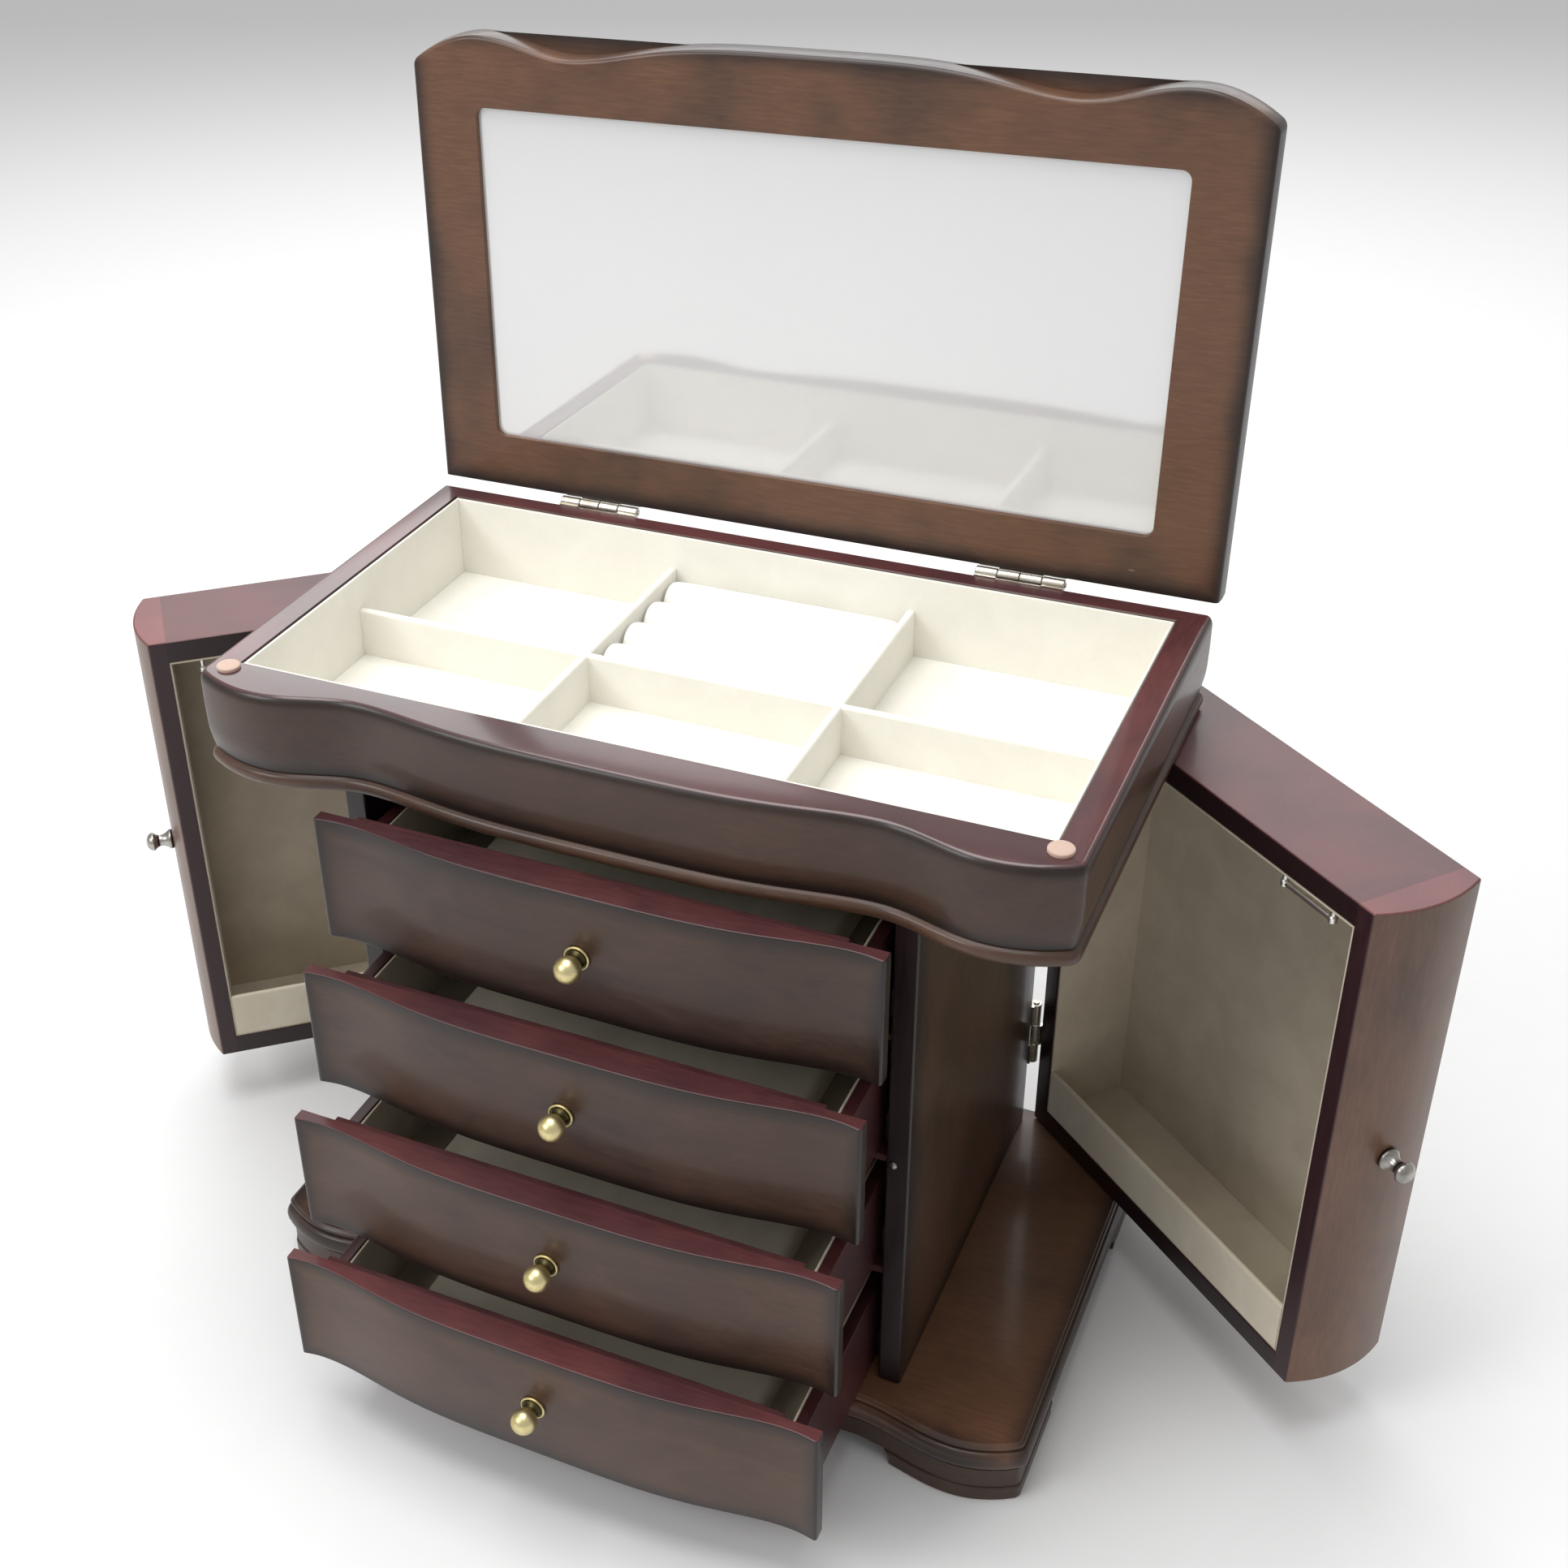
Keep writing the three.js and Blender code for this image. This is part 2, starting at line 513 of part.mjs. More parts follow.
// ---------- drawers: bowed front, tray-like box, lining, knob ----------
function buildDrawer(number) {
  const drawer = new THREE.Group();
  drawer.position.y = -DRAWER_PULLS[number - 1];
  chest.add(drawer);

  const z0 = LOWEST_FRONT + DRAWER_PITCH * (DRAWERS - number);
  const z1 = z0 + DRAWER_FRONT_HEIGHT;
  const frontBack = CARCASS_FRONT - GAP;
  const face = outline(DRAWER_FRONT, frontBack, DRAWER_FRONT_HALF, 20);
  const front = moulded(face, [[-0.8, z0], [0, z0 + 0.8], [0, z1 - 0.8], [-0.8, z1]]);
  const behind = box(-far, far, frontBack, 0, z0 - 1, z1 + 1);
  mesh(drawer, `drawer_${number}_front`, cut(front, behind), walnut());

  const boxStart = frontBack + GAP;
  const floor = z0 - BOX_DROP;
  const sideTop = z1 - BOX_LOWER;
  const shell = cut(
    box(-BOX_HALF, BOX_HALF, boxStart, BOX_BACK, floor, sideTop),
    box(BOX_WALL - BOX_HALF, BOX_HALF - BOX_WALL, boxStart + BOX_FRONT, BOX_BACK - BOX_WALL,
      floor + BOX_FLOOR, sideTop + 1));
  const inner = BOX_HALF - BOX_WALL;
  const riser = box(-inner, inner, boxStart, boxStart + BOX_FRONT, floor + 1, z1);
  mesh(drawer, `drawer_${number}_box`, join(shell, riser), plumWood());

  const knob = knobGeometry().translate(0, DRAWER_FRONT.bow, (z0 + z1) / 2);
  mesh(drawer, `drawer_${number}_knob`, knob, brass());
}

// ---------- doors: hollow compartments with an arched front, built closed and turned open ----------
function buildDoor(name, side) {
  const door = new THREE.Group();
  door.position.set(side * DOOR_PIVOT.x, DOOR_PIVOT.y, 0);
  door.rotation.z = side * THREE.MathUtils.degToRad(DOOR_OPEN);
  chest.add(door);

  const inner = DOOR_INNER;
  const outer = inner + DOOR_THICKNESS;
  const middle = (inner + outer) / 2;
  const openingBottom = DOOR_BOTTOM + DOOR_RAIL;
  const openingTop = DOOR_TOP - DOOR_RAIL;
  const openingFront = DOOR_CORNER + DOOR_FRONT_STILE;
  const openingRear = DOOR_REAR - DOOR_REAR_STILE;
  const add = (part, geometry, material) => mesh(door, `${name}_door_${part}`, geometry, material);
  const sideBox = (x0, x1, ...rest) => box(side * x0, side * x1, ...rest);

  // top, bottom and rear stile make one glued frame behind the arched front
  const whole = sideBox(inner, outer, DOOR_REAR, openingFront + GAP, DOOR_BOTTOM, DOOR_TOP);
  const hollow = sideBox(-outer, 2 * outer, openingRear, DOOR_CORNER, openingBottom, openingTop);
  add('frame', cut(whole, hollow), plumWood());

  const arch = new THREE.Shape();
  arch.moveTo(side * inner, openingFront);
  arch.lineTo(side * inner, DOOR_CORNER);
  arch.quadraticCurveTo(side * middle, DOOR_CORNER - 2 * DOOR_BULGE, side * outer, DOOR_CORNER);
  arch.lineTo(side * outer, openingFront);
  arch.closePath();
  add('front', prism(arch, DOOR_BOTTOM, DOOR_TOP), walnut());
  add('side_panel', sideBox(outer - DOOR_PANEL, outer, openingRear - GAP, openingFront + GAP,
    openingBottom + GAP, openingTop - GAP), walnut());

  // upright lip that makes a pocket along the bottom
  add('pocket_lip', sideBox(inner, inner + POCKET_THICKNESS, openingRear - GAP, openingFront + GAP,
    openingBottom + GAP, openingBottom + POCKET_HEIGHT), shadedSuede());
  add('necklace_rail', necklaceRail(side, openingTop - GAP), nickel());
  const knobHeight = (DOOR_BOTTOM + DOOR_TOP) / 2;
  const knob = doorKnobGeometry().translate(side * middle, DOOR_CORNER - DOOR_BULGE, knobHeight);
  add('knob', knob, pewter());
  buildDoorHinges(name, side, door);
}

// thin rod hung from the top of the compartment on two short posts
function necklaceRail(side, ceiling) {
  const { x, from, to, radius, drop } = NECKLACE_RAIL;
  const z = ceiling - drop;
  const rod = rodX(to, from, 0, 0, radius).rotateZ(Math.PI / 2).translate(side * x, 0, z);
  const posts = [from - 1.5, to + 1.5].map((y) =>
    rodZ(side * x, y, z - radius * 0.6, ceiling, radius * 1.3));
  return join(rod, ...posts);
}

// butt hinges at the rear corners: three knuckles each, the middle one on the door
function buildDoorHinges(name, side, door) {
  const { inset, length, radius, pin, leaf, sheet } = DOOR_HINGE;
  const knuckle = length / 3;
  const centre = (DOOR_BOTTOM + DOOR_TOP) / 2;
  const axisX = side * DOOR_PIVOT.x;
  const plateEdge = axisX - side * (radius + GAP);
  const carcassFace = CARCASS_BACK + GAP;
  const doorFace = DOOR_REAR + GAP;
  for (const [level, middle] of [['lower', centre - inset], ['upper', centre + inset]]) {
    const z0 = middle - length / 2;
    const span = (k) => [z0 + k * knuckle + KNUCKLE_PLAY, z0 + (k + 1) * knuckle - KNUCKLE_PLAY];
    const plate = box(plateEdge, plateEdge - side * leaf, carcassFace, carcassFace + sheet,
      z0, z0 + length);
    const fixed = [plate, rodZ(axisX, DOOR_PIVOT.y, z0, z0 + length, pin)];
    for (const k of [0, 2]) {
      fixed.push(box(axisX, plateEdge - side * 2, carcassFace, carcassFace + 1.9 * sheet, ...span(k)),
        rodZ(axisX, DOOR_PIVOT.y, ...span(k), radius));
    }
    mesh(chest, `${name}_door_hinge_${level}_carcass_leaf`, join(...fixed), nickel());

    const moving = [box(side * 3, side * (3 + leaf), doorFace, doorFace + sheet, z0, z0 + length),
      box(0, side * 5, doorFace, doorFace + 1.9 * sheet, ...span(1)), rodZ(0, 0, ...span(1), radius)];
    mesh(door, `${name}_door_hinge_${level}_door_leaf`,
      cut(join(...moving), rodZ(0, 0, 0, RIM, pin + GAP)), nickel());
  }
}

// ---------- assembly ----------
buildBase();
buildCarcass();
buildCase();
buildTray();
buildLid();
for (let number = 1; number <= DRAWERS; number += 1) buildDrawer(number);
buildDoor('left', -1);
buildDoor('right', 1);

// put the origin at the middle of the open chest's plan
chest.updateMatrixWorld(true);
const bounds = new THREE.Box3().setFromObject(chest, true);
chest.position.y = -(bounds.min.y + bounds.max.y) / 2;

export default chest;
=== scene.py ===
import json
import math

import bmesh
import bpy
from mathutils import Matrix, Vector


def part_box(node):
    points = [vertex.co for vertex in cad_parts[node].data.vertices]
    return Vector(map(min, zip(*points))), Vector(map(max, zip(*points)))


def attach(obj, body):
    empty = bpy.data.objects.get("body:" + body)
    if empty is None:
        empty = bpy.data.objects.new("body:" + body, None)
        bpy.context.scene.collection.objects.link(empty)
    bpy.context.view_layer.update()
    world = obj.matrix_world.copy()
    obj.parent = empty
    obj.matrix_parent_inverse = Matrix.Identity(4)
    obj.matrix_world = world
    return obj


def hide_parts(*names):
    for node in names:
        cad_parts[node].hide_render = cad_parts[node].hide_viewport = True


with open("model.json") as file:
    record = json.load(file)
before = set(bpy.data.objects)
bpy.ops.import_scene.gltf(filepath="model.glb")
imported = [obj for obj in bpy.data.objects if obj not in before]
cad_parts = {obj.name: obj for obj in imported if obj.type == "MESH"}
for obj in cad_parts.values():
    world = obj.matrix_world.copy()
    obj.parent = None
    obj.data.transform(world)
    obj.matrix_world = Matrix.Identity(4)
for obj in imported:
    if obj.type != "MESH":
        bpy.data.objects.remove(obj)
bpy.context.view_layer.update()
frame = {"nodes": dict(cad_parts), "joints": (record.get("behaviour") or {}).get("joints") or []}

MM = 0.001
TIP = 0.001                                  # radius that stands for a point on a lathe's axis
JOINTS = {joint["name"]: joint for joint in frame["joints"]}


def span(node):
    """Lowest and highest corner of a CAD node at rest, in millimetres."""
    low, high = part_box(node)
    return low / MM, high / MM


# ---------- sizes, in millimetres ----------
CASE_DEPTH_HALF = 91.7                       # back of the case behind y = 0
MIDDLE_Y = span("case_back")[1].y - CASE_DEPTH_HALF
HALF = 170
TROUGH_X = 102
LOBE_X = 143
RIM = span("case_front")[1].z
WALL_BOTTOM = span("case_front")[0].z
CASE_BOTTOM = span("case_bottom_board")[0].z
BASE_TOP = span("base_board")[1].z
BASE_UNDER = span("base_board")[0].z
BASE_BACK = 93
CARCASS_FRONT = -87
CARCASS_BACK = 86
INNER_HALF = 160.2
INNER_FRONT = -82.1
INNER_BACK = 83
TRAY_FLOOR = span("tray_lining")[0].z + 0.9
DIVIDER_TOP = span("long_divider")[1].z
LONG_DIVIDER_Y = -1.5
SHORT_DIVIDER_X = 53.9
DIVIDER_HALF = 1.7

# front outlines: y in the middle, at the troughs, at the lobes and at the corners
RIM_FRONT = (-98.2, -91.2, -99.5, -91.9)
BASE_FRONT = (-105.5, -98.4, -104.6, -95.4)
DRAWER_FRONT = (-99.2, -91.8, -100.1, -92)
LID_FRONT = (-196, -187.8, -194.6, -185.5)   # from the lid's pivot

LID_HALF = 173
LID_EDGE = -2.5
LID_FACE = 1.4
LID_FRAME_TOP = 10.6
LID_TOP = 15.9
MIRROR_HALF = 145.2
MIRROR_START = LID_EDGE - 23.1
MIRROR_END = LID_EDGE - 164.3
MIRROR_LIP = 5
MIRROR_REVEAL = 2.2

DRAWER_HALF = 113.35
DRAWER_BACK = CARCASS_FRONT - 0.3
BOX_HALF = 103
BOX_WALL = 5
BOX_BACK = 78
BOX_LOWER = 14.5
RISER = 2.2

DOOR_INNER = 0.8
DOOR_OUTER = 48.4
DOOR_REAR = -4.1
DOOR_CORNER = -180.8
DOOR_BULGE = 5.4
DOOR_BOTTOM = span("right_door_frame")[0].z
DOOR_TOP = span("right_door_frame")[1].z
DOOR_RAIL = 10
DOOR_REAR_STILE = 9
DOOR_FRONT_STILE = 7.6
DOOR_PANEL = 6
LINING = 1.1
SIDES = (("left", -1), ("right", 1))


# ---------- places: where each body's own frame sits in the row frame ----------
def turned(joint, degrees):
    pivot = Vector(JOINTS[joint]["pos_m"])
    axis = Vector(JOINTS[joint]["axis"])
    return pivot, Matrix.Rotation(math.radians(degrees), 4, axis)


def placed(x, y, z):
    return Matrix.Translation((x * MM, y * MM, z * MM))


PLACES = {"chest": placed(0, MIDDLE_Y, 0)}
lid_pivot, lid_turn = turned("lid_hinge", -JOINTS["lid_hinge"]["range_deg"][1])
PLACES["lid"] = Matrix.Translation(lid_pivot) @ lid_turn
for side_name, _ in SIDES:
    hinge = f"{side_name}_door_hinge"
    door_pivot, door_turn = turned(hinge, -JOINTS[hinge]["range_deg"][0])
    PLACES[f"{side_name}_door"] = Matrix.Translation((door_pivot.x, door_pivot.y, 0)) @ door_turn
for drawer_number in range(1, 5):
    pull = -JOINTS[f"drawer_{drawer_number}_slide"]["range_m"][0] / MM
    PLACES[f"drawer_{drawer_number}"] = placed(0, MIDDLE_Y - pull, 0)


# ---------- camera ----------
CAMERA_AT = (0.28393, -0.59312, 0.67201)
CAMERA_YAW = 26.30
CAMERA_PITCH = -31.59
CAMERA_ROLL = -2.10
CAMERA_LENS = 46.38
CAMERA_SHIFT = (0.0820, -0.0156)


def make_camera():
    yaw, pitch, roll = (math.radians(a) for a in (CAMERA_YAW, CAMERA_PITCH, CAMERA_ROLL))
    ahead = Vector((-math.sin(yaw) * math.cos(pitch), math.cos(yaw) * math.cos(pitch), math.sin(pitch)))
    right = ahead.cross(Vector((0, 0, 1))).normalized()
    up = right.cross(ahead)
    right, up = (right * math.cos(roll) + up * math.sin(roll),
                 up * math.cos(roll) - right * math.sin(roll))
    camera = bpy.data.objects.new("camera", bpy.data.cameras.new("camera"))
    camera.matrix_world = Matrix.Translation(CAMERA_AT) @ Matrix((right, up, -ahead)).transposed().to_4x4()
    camera.data.sensor_width = 36
    camera.data.lens = CAMERA_LENS
    camera.data.shift_x, camera.data.shift_y = CAMERA_SHIFT
    camera.data.clip_start = 0.01
    bpy.context.scene.collection.objects.link(camera)
    bpy.context.scene.camera = camera


make_camera()


# ---------- materials ----------
class Nodes:
    """Short hand for building one material's node tree."""

    def __init__(self, name):
        self.material = bpy.data.materials.new(name)
        self.material.use_nodes = True
        self.tree = self.material.node_tree
        self.shader = self.tree.nodes["Principled BSDF"]


    def put(self, socket, value):
        if isinstance(value, bpy.types.NodeSocket):
            self.tree.links.new(value, socket)
        else:
            socket.default_value = value

    def add(self, kind, inputs=(), **settings):
        """Outputs of a new node, made with its settings and fed with values or sockets."""
        node = self.tree.nodes.new(kind)
        for key, value in settings.items():
            setattr(node, key, value)
        for key, value in dict(inputs).items():
            self.put(node.inputs[key], value)
        return node.outputs

    def coordinates(self, kind="Object"):
        return self.add("ShaderNodeTexCoord")[kind]

    def scaled(self, vector, scale):
        return self.add("ShaderNodeMapping", {"Vector": vector, "Scale": scale})["Vector"]

    def split(self, vector):
        return self.add("ShaderNodeSeparateXYZ", {0: vector})

    def noise(self, vector, scale, detail=3.0, roughness=0.5, distortion=0.0):
        inputs = {"Vector": vector, "Scale": scale, "Detail": detail, "Roughness": roughness,
                  "Distortion": distortion}
        return self.add("ShaderNodeTexNoise", inputs)["Fac"]

    def math(self, operation, a, b=0.0, clamp=False):
        return self.add("ShaderNodeMath", {0: a, 1: b}, operation=operation, use_clamp=clamp)[0]

    def remap(self, value, low, high, to_low=0.0, to_high=1.0, smooth=True):
        inputs = {"Value": value, "From Min": low, "From Max": high, "To Min": to_low, "To Max": to_high}
        curve = "SMOOTHSTEP" if smooth else "LINEAR"
        return self.add("ShaderNodeMapRange", inputs, interpolation_type=curve)["Result"]

    def mix(self, factor, a, b):
        a, b = (c if isinstance(c, bpy.types.NodeSocket) else (*c, 1.0) for c in (a, b))
        return self.add("ShaderNodeMix", {"Factor": factor, 6: a, 7: b}, data_type="RGBA")[2]

    def brighten(self, colour, amount):
        return self.add("ShaderNodeHueSaturation", {"Value": amount, "Color": colour})["Color"]

    def bump(self, height, distance, strength):
        inputs = {"Strength": strength, "Distance": distance, "Height": height}
        self.set(Normal=self.add("ShaderNodeBump", inputs)["Normal"])

    def set(self, **values):
        for key, value in values.items():
            self.put(self.shader.inputs[key.replace("_", " ")], value)

    def edge_distance(self, axes, size):
        """Distance in millimetres to the nearest edge of the piece's own box, along the axes named."""
        place = self.split(self.coordinates("Generated"))
        nearest = None
        for axis in axes:
            index = "xyz".index(axis)
            off = self.math("ABSOLUTE", self.math("SUBTRACT", place[index], 0.5))
            distance = self.math("MULTIPLY", self.math("SUBTRACT", 0.5, off), size[index])
            nearest = distance if nearest is None else self.math("MINIMUM", nearest, distance)
        return nearest


WALNUT_DARK = (0.030, 0.0165, 0.0125)
WALNUT = (0.062, 0.033, 0.0235)
WALNUT_BURNISH = (0.130, 0.061, 0.032)
PLUM = (0.112, 0.0285, 0.0285)
PLUM_DARK = (0.062, 0.0165, 0.0195)
# painted shade colour, for faces that lie in shadow
PAINTED_SHADE_PLUM = (0.017, 0.0058, 0.0075)
COAT = 0.22                                  # weight of the satin lacquer


def along_grain(grain, squeeze):
    """Scale that draws a pattern out along one axis."""
    return [1 if axis == grain else squeeze for axis in "xyz"]


def walnut(name, grain="x", edges=None, size=None, edge_width=16.0, burnish=0.5, plum=(), shade=(),
           tone=1.0, nicks=False, gloss=COAT):
    """Stained walnut under satin lacquer, shaded darker within edge_width of the edges. plum lists the
    directions, in the piece's own frame, whose faces are stained plum instead; shade lists those whose
    faces are painted nearly black, a painted shade for faces that lie in shadow; gloss is the lacquer's
    weight on the plum faces."""
    n = Nodes(name)
    where = n.coordinates()
    stretch = along_grain(grain, 9)
    fibre = n.noise(n.scaled(where, stretch), 95, detail=6, roughness=0.62, distortion=0.3)
    pores = n.noise(n.scaled(where, [3 * s for s in stretch]), 110, detail=2)
    figure = n.noise(n.scaled(where, [0.4 * s ** 0.4 for s in stretch]), 60, detail=4, roughness=0.6,
                     distortion=0.8)
    cloud = n.noise(where, 17, roughness=0.55)

    base = n.mix(n.remap(figure, 0.25, 0.75), WALNUT_DARK, WALNUT)
    glow = n.math("MULTIPLY", n.remap(cloud, 0.10, 0.78), burnish, clamp=True)
    if edges:
        near = n.math("ADD", n.edge_distance(edges, size),
                      n.math("MULTIPLY", n.math("SUBTRACT", cloud, 0.5), 0.4 * edge_width))
        inside = n.remap(near, 0.0, edge_width)
        glow = n.math("MULTIPLY", glow, inside)
        base = n.mix(n.math("SUBTRACT", 1.0, inside), base, [0.55 * c for c in WALNUT_DARK])
    wood = n.mix(glow, base, WALNUT_BURNISH)
    coat = COAT
    if plum:
        red = n.mix(n.remap(cloud, 0.3, 0.7), PLUM_DARK, PLUM)
        stained = facing(n, plum)
        wood = n.mix(stained, wood, red)
        coat = n.remap(stained, 0.0, 1.0, COAT, gloss, smooth=False)
    # painted shade: faces that look along a shade direction are painted nearly black
    if shade:
        wood = n.mix(facing(n, shade), wood, PAINTED_SHADE_PLUM)
    streak = n.remap(fibre, 0.30, 0.70, 0.86, 1.14)
    colour = n.brighten(wood, n.math("MULTIPLY", streak, tone))
    if nicks:
        colour = n.mix(nick_marks(n, where), colour, (0.42, 0.27, 0.17))
    n.set(Base_Color=colour, Roughness=n.remap(fibre, 0.25, 0.75, 0.38, 0.48),
          Specular_IOR_Level=0.36, Coat_Weight=coat, Coat_Roughness=0.14)
    n.bump(n.math("ADD", n.math("MULTIPLY", pores, 0.6), n.math("MULTIPLY", cloud, 1.5)), 0.00005, 0.4)
    return n.material


def nick_marks(n, where):
    """A few short pale strokes, in about one cell in five of a stretched cell pattern."""
    slanted = n.add("ShaderNodeMapping", {"Vector": where, "Rotation": (0.0, 0.0, 0.9),
                                          "Scale": (1.0, 5.0, 0.0)})["Vector"]
    cells = n.add("ShaderNodeTexVoronoi", {"Scale": 15, "Vector": slanted}, feature="F1")
    red = n.add("ShaderNodeSeparateColor", {"Color": cells["Color"]})["Red"]
    stroke = n.remap(cells["Distance"], 0.030, 0.022)
    chosen = n.math("MULTIPLY", stroke, n.math("GREATER_THAN", red, 0.82))
    return n.math("MULTIPLY", chosen, 0.5)


def facing(n, directions):
    """1 on the faces of the piece that look along any of the directions, else 0."""
    normal = n.coordinates("Normal")
    found = None
    for direction in directions:
        along = n.add("ShaderNodeVectorMath", {0: normal, 1: direction}, operation="DOT_PRODUCT")
        share = n.remap(along["Value"], 0.62, 0.88)
        found = share if found is None else n.math("MAXIMUM", found, share)
    return found


def plum_wood(name, tone, grain="x"):
    n = Nodes(name)
    where = n.coordinates()
    fibre = n.noise(n.scaled(where, along_grain(grain, 10)), 90, detail=5, roughness=0.6)
    cloud = n.noise(where, 22, roughness=0.55)
    colour = n.brighten(n.mix(n.remap(cloud, 0.32, 0.7), PLUM_DARK, PLUM),
                        n.remap(fibre, 0.3, 0.7, 0.82 * tone, 1.16 * tone))
    n.set(Base_Color=colour, Roughness=n.remap(fibre, 0.25, 0.75, 0.38, 0.48),
          Specular_IOR_Level=0.4, Coat_Weight=COAT, Coat_Roughness=0.14)
    n.bump(n.math("ADD", n.math("MULTIPLY", fibre, 0.5), cloud), 0.00006, 0.4)
    return n.material


def suede(name, colour, shade, fibre=2600.0):
    """Short flocked pile: a soft mottle where the nap lies differently, and a fine fibre bump."""
    n = Nodes(name)
    where = n.coordinates()
    nap = n.noise(where, 42, detail=4, roughness=0.6, distortion=0.4)
    pile = n.noise(where, fibre, detail=2, roughness=0.7)
    colour = n.mix(n.remap(nap, 0.3, 0.7), shade, colour)
    colour = n.mix(n.remap(pile, 0.3, 0.7, 0.0, 0.10), colour, tuple(0.6 * c for c in shade))
    n.set(Base_Color=colour, Roughness=0.95, Specular_IOR_Level=0.2, Sheen_Weight=0.35,
          Sheen_Roughness=0.5)
    n.bump(n.math("ADD", pile, n.math("MULTIPLY", nap, 0.8)), 0.00012, 0.5)
    return n.material


def metal(name, colour, dark, roughness, recesses=()):
    """Polished metal with tarnish. recesses are dark bands of a knob, partly patina in its hollows and
    partly painted shade there: (from, to, radius), the distances measured off its face and the radius that
    the band stays within, in millimetres."""
    n = Nodes(name)
    where = n.coordinates()
    tarnish = n.noise(where, 70, detail=5, roughness=0.65)
    scratches = n.noise(where, 1500, detail=2)
    finish = n.mix(n.remap(tarnish, 0.36, 0.62), dark, colour)
    if recesses:
        place = n.split(where)
        off = n.math("MULTIPLY", place["Y"], -1 / MM)
        squares = [n.math("POWER", place[axis], 2.0) for axis in ("X", "Z")]
        radius = n.math("MULTIPLY", n.math("SQRT", n.math("ADD", *squares)), 1 / MM)
        for start, end, limit in recesses:
            band = n.math("MULTIPLY", n.remap(off, start - 0.25, start + 0.25),
                          n.remap(off, end + 0.4, end - 0.4))
            band = n.math("MULTIPLY", band, n.remap(radius, limit + 0.2, limit - 0.2))
            # patina with painted shade: the recess bands go nearly black
            finish = n.mix(band, finish, tuple(0.16 * c for c in dark))
    n.set(Base_Color=finish, Metallic=1.0,
          Roughness=n.remap(tarnish, 0.3, 0.7, roughness + 0.10, roughness))
    n.bump(scratches, 0.00002, 0.25)
    return n.material


def mirror_painted_grey(name):
    n = Nodes(name)
    haze = n.noise(n.coordinates(), 9, detail=2)
    # Painted reflection: the glass is mostly a matte light grey in place of what it reflects, with only a
    # weak true reflection.
    n.set(Base_Color=n.mix(haze, (0.73, 0.73, 0.74), (0.75, 0.75, 0.76)), Metallic=0.30,
          Roughness=n.remap(haze, 0.2, 0.8, 0.04, 0.07))
    return n.material


def felt(name, colour):
    n = Nodes(name)
    wool = n.noise(n.coordinates(), 1900, detail=4, roughness=0.7)
    n.set(Base_Color=n.mix(wool, tuple(0.72 * c for c in colour), colour), Roughness=0.95,
          Sheen_Weight=0.3)
    n.bump(wool, 0.0002, 0.6)
    return n.material


def card(name):
    n = Nodes(name)
    flecks = n.noise(n.coordinates(), 420, detail=4, roughness=0.7)
    n.set(Base_Color=n.mix(flecks, (0.13, 0.09, 0.05), (0.34, 0.26, 0.17)), Roughness=0.9)
    n.bump(flecks, 0.0001, 0.4)
    return n.material


CREAM = suede("cream_suede", (0.885, 0.862, 0.785), (0.845, 0.822, 0.745))
CREAM_ROLL = suede("cream_velvet", (0.95, 0.94, 0.89), (0.91, 0.90, 0.84), fibre=3000.0)
# The next three suedes are darker copies of the cream suede: painted shade for the linings, pads and pocket
# lips inside the drawers and doors.
SHADED_CREAM = suede("shaded_suede", (0.60, 0.53, 0.41), (0.52, 0.455, 0.345))
SHADED_PAD_SUEDE = suede("shaded_pad_suede", (0.56, 0.51, 0.40), (0.50, 0.45, 0.345))
LESS_SHADED_CREAM_LIP = suede("less_shaded_lip_suede", (0.72, 0.66, 0.53), (0.65, 0.58, 0.45))
BRASS = metal("antique_brass", (0.77, 0.67, 0.36), (0.52, 0.42, 0.19), 0.34, recesses=[(0.95, 3.7, 4.5)])
PEWTER = metal("pewter", (0.44, 0.42, 0.39), (0.23, 0.22, 0.20), 0.28,
               recesses=[(-0.5, 0.9, 9.0), (6.3, 7.2, 9.0)])
STUD = metal("stud_steel", (0.40, 0.38, 0.35), (0.22, 0.20, 0.19), 0.25)
NICKEL = metal("nickel", (0.72, 0.69, 0.62), (0.46, 0.42, 0.35), 0.24)
RAIL_NICKEL = metal("bright_nickel", (0.93, 0.92, 0.89), (0.76, 0.74, 0.70), 0.30)
MIRROR_PAINTED_GREY = mirror_painted_grey("mirror_painted_grey")
FELT = felt("felt", (0.66, 0.47, 0.38))
CARD = card("backing_card")
BOX_WOOD = plum_wood("box_wood", 0.6)
PLUM_SHADED = plum_wood("plum_wood_shaded", 0.7, grain="y")


# ---------- mesh helpers: every shape is (vertices, faces) in millimetres ----------
def board(x0, x1, y0, y1, z0, z1):
    x0, x1 = sorted((x0, x1))
    y0, y1 = sorted((y0, y1))
    vertices = [(x, y, z) for z in (z0, z1) for x, y in ((x0, y0), (x1, y0), (x1, y1), (x0, y1))]
    faces = [(0, 3, 2, 1), (4, 5, 6, 7), (0, 1, 5, 4), (1, 2, 6, 5), (2, 3, 7, 6), (3, 0, 4, 7)]
    return vertices, faces


def loft(rings, close=False, caps=True):
    """Skin through rings of equally many points. close joins the last ring to the first."""
    count = len(rings[0])
    vertices = [point for ring in rings for point in ring]
    faces = []
    last = len(rings) if close else len(rings) - 1
    for level in range(last):
        here, there = level * count, (level + 1) % len(rings) * count
        for i in range(count):
            k = (i + 1) % count
            faces.append((here + i, here + k, there + k, there + i))
    if caps and not close:
        faces.append(tuple(reversed(range(count))))
        faces.append(tuple(range((len(rings) - 1) * count, len(rings) * count)))
    return vertices, faces


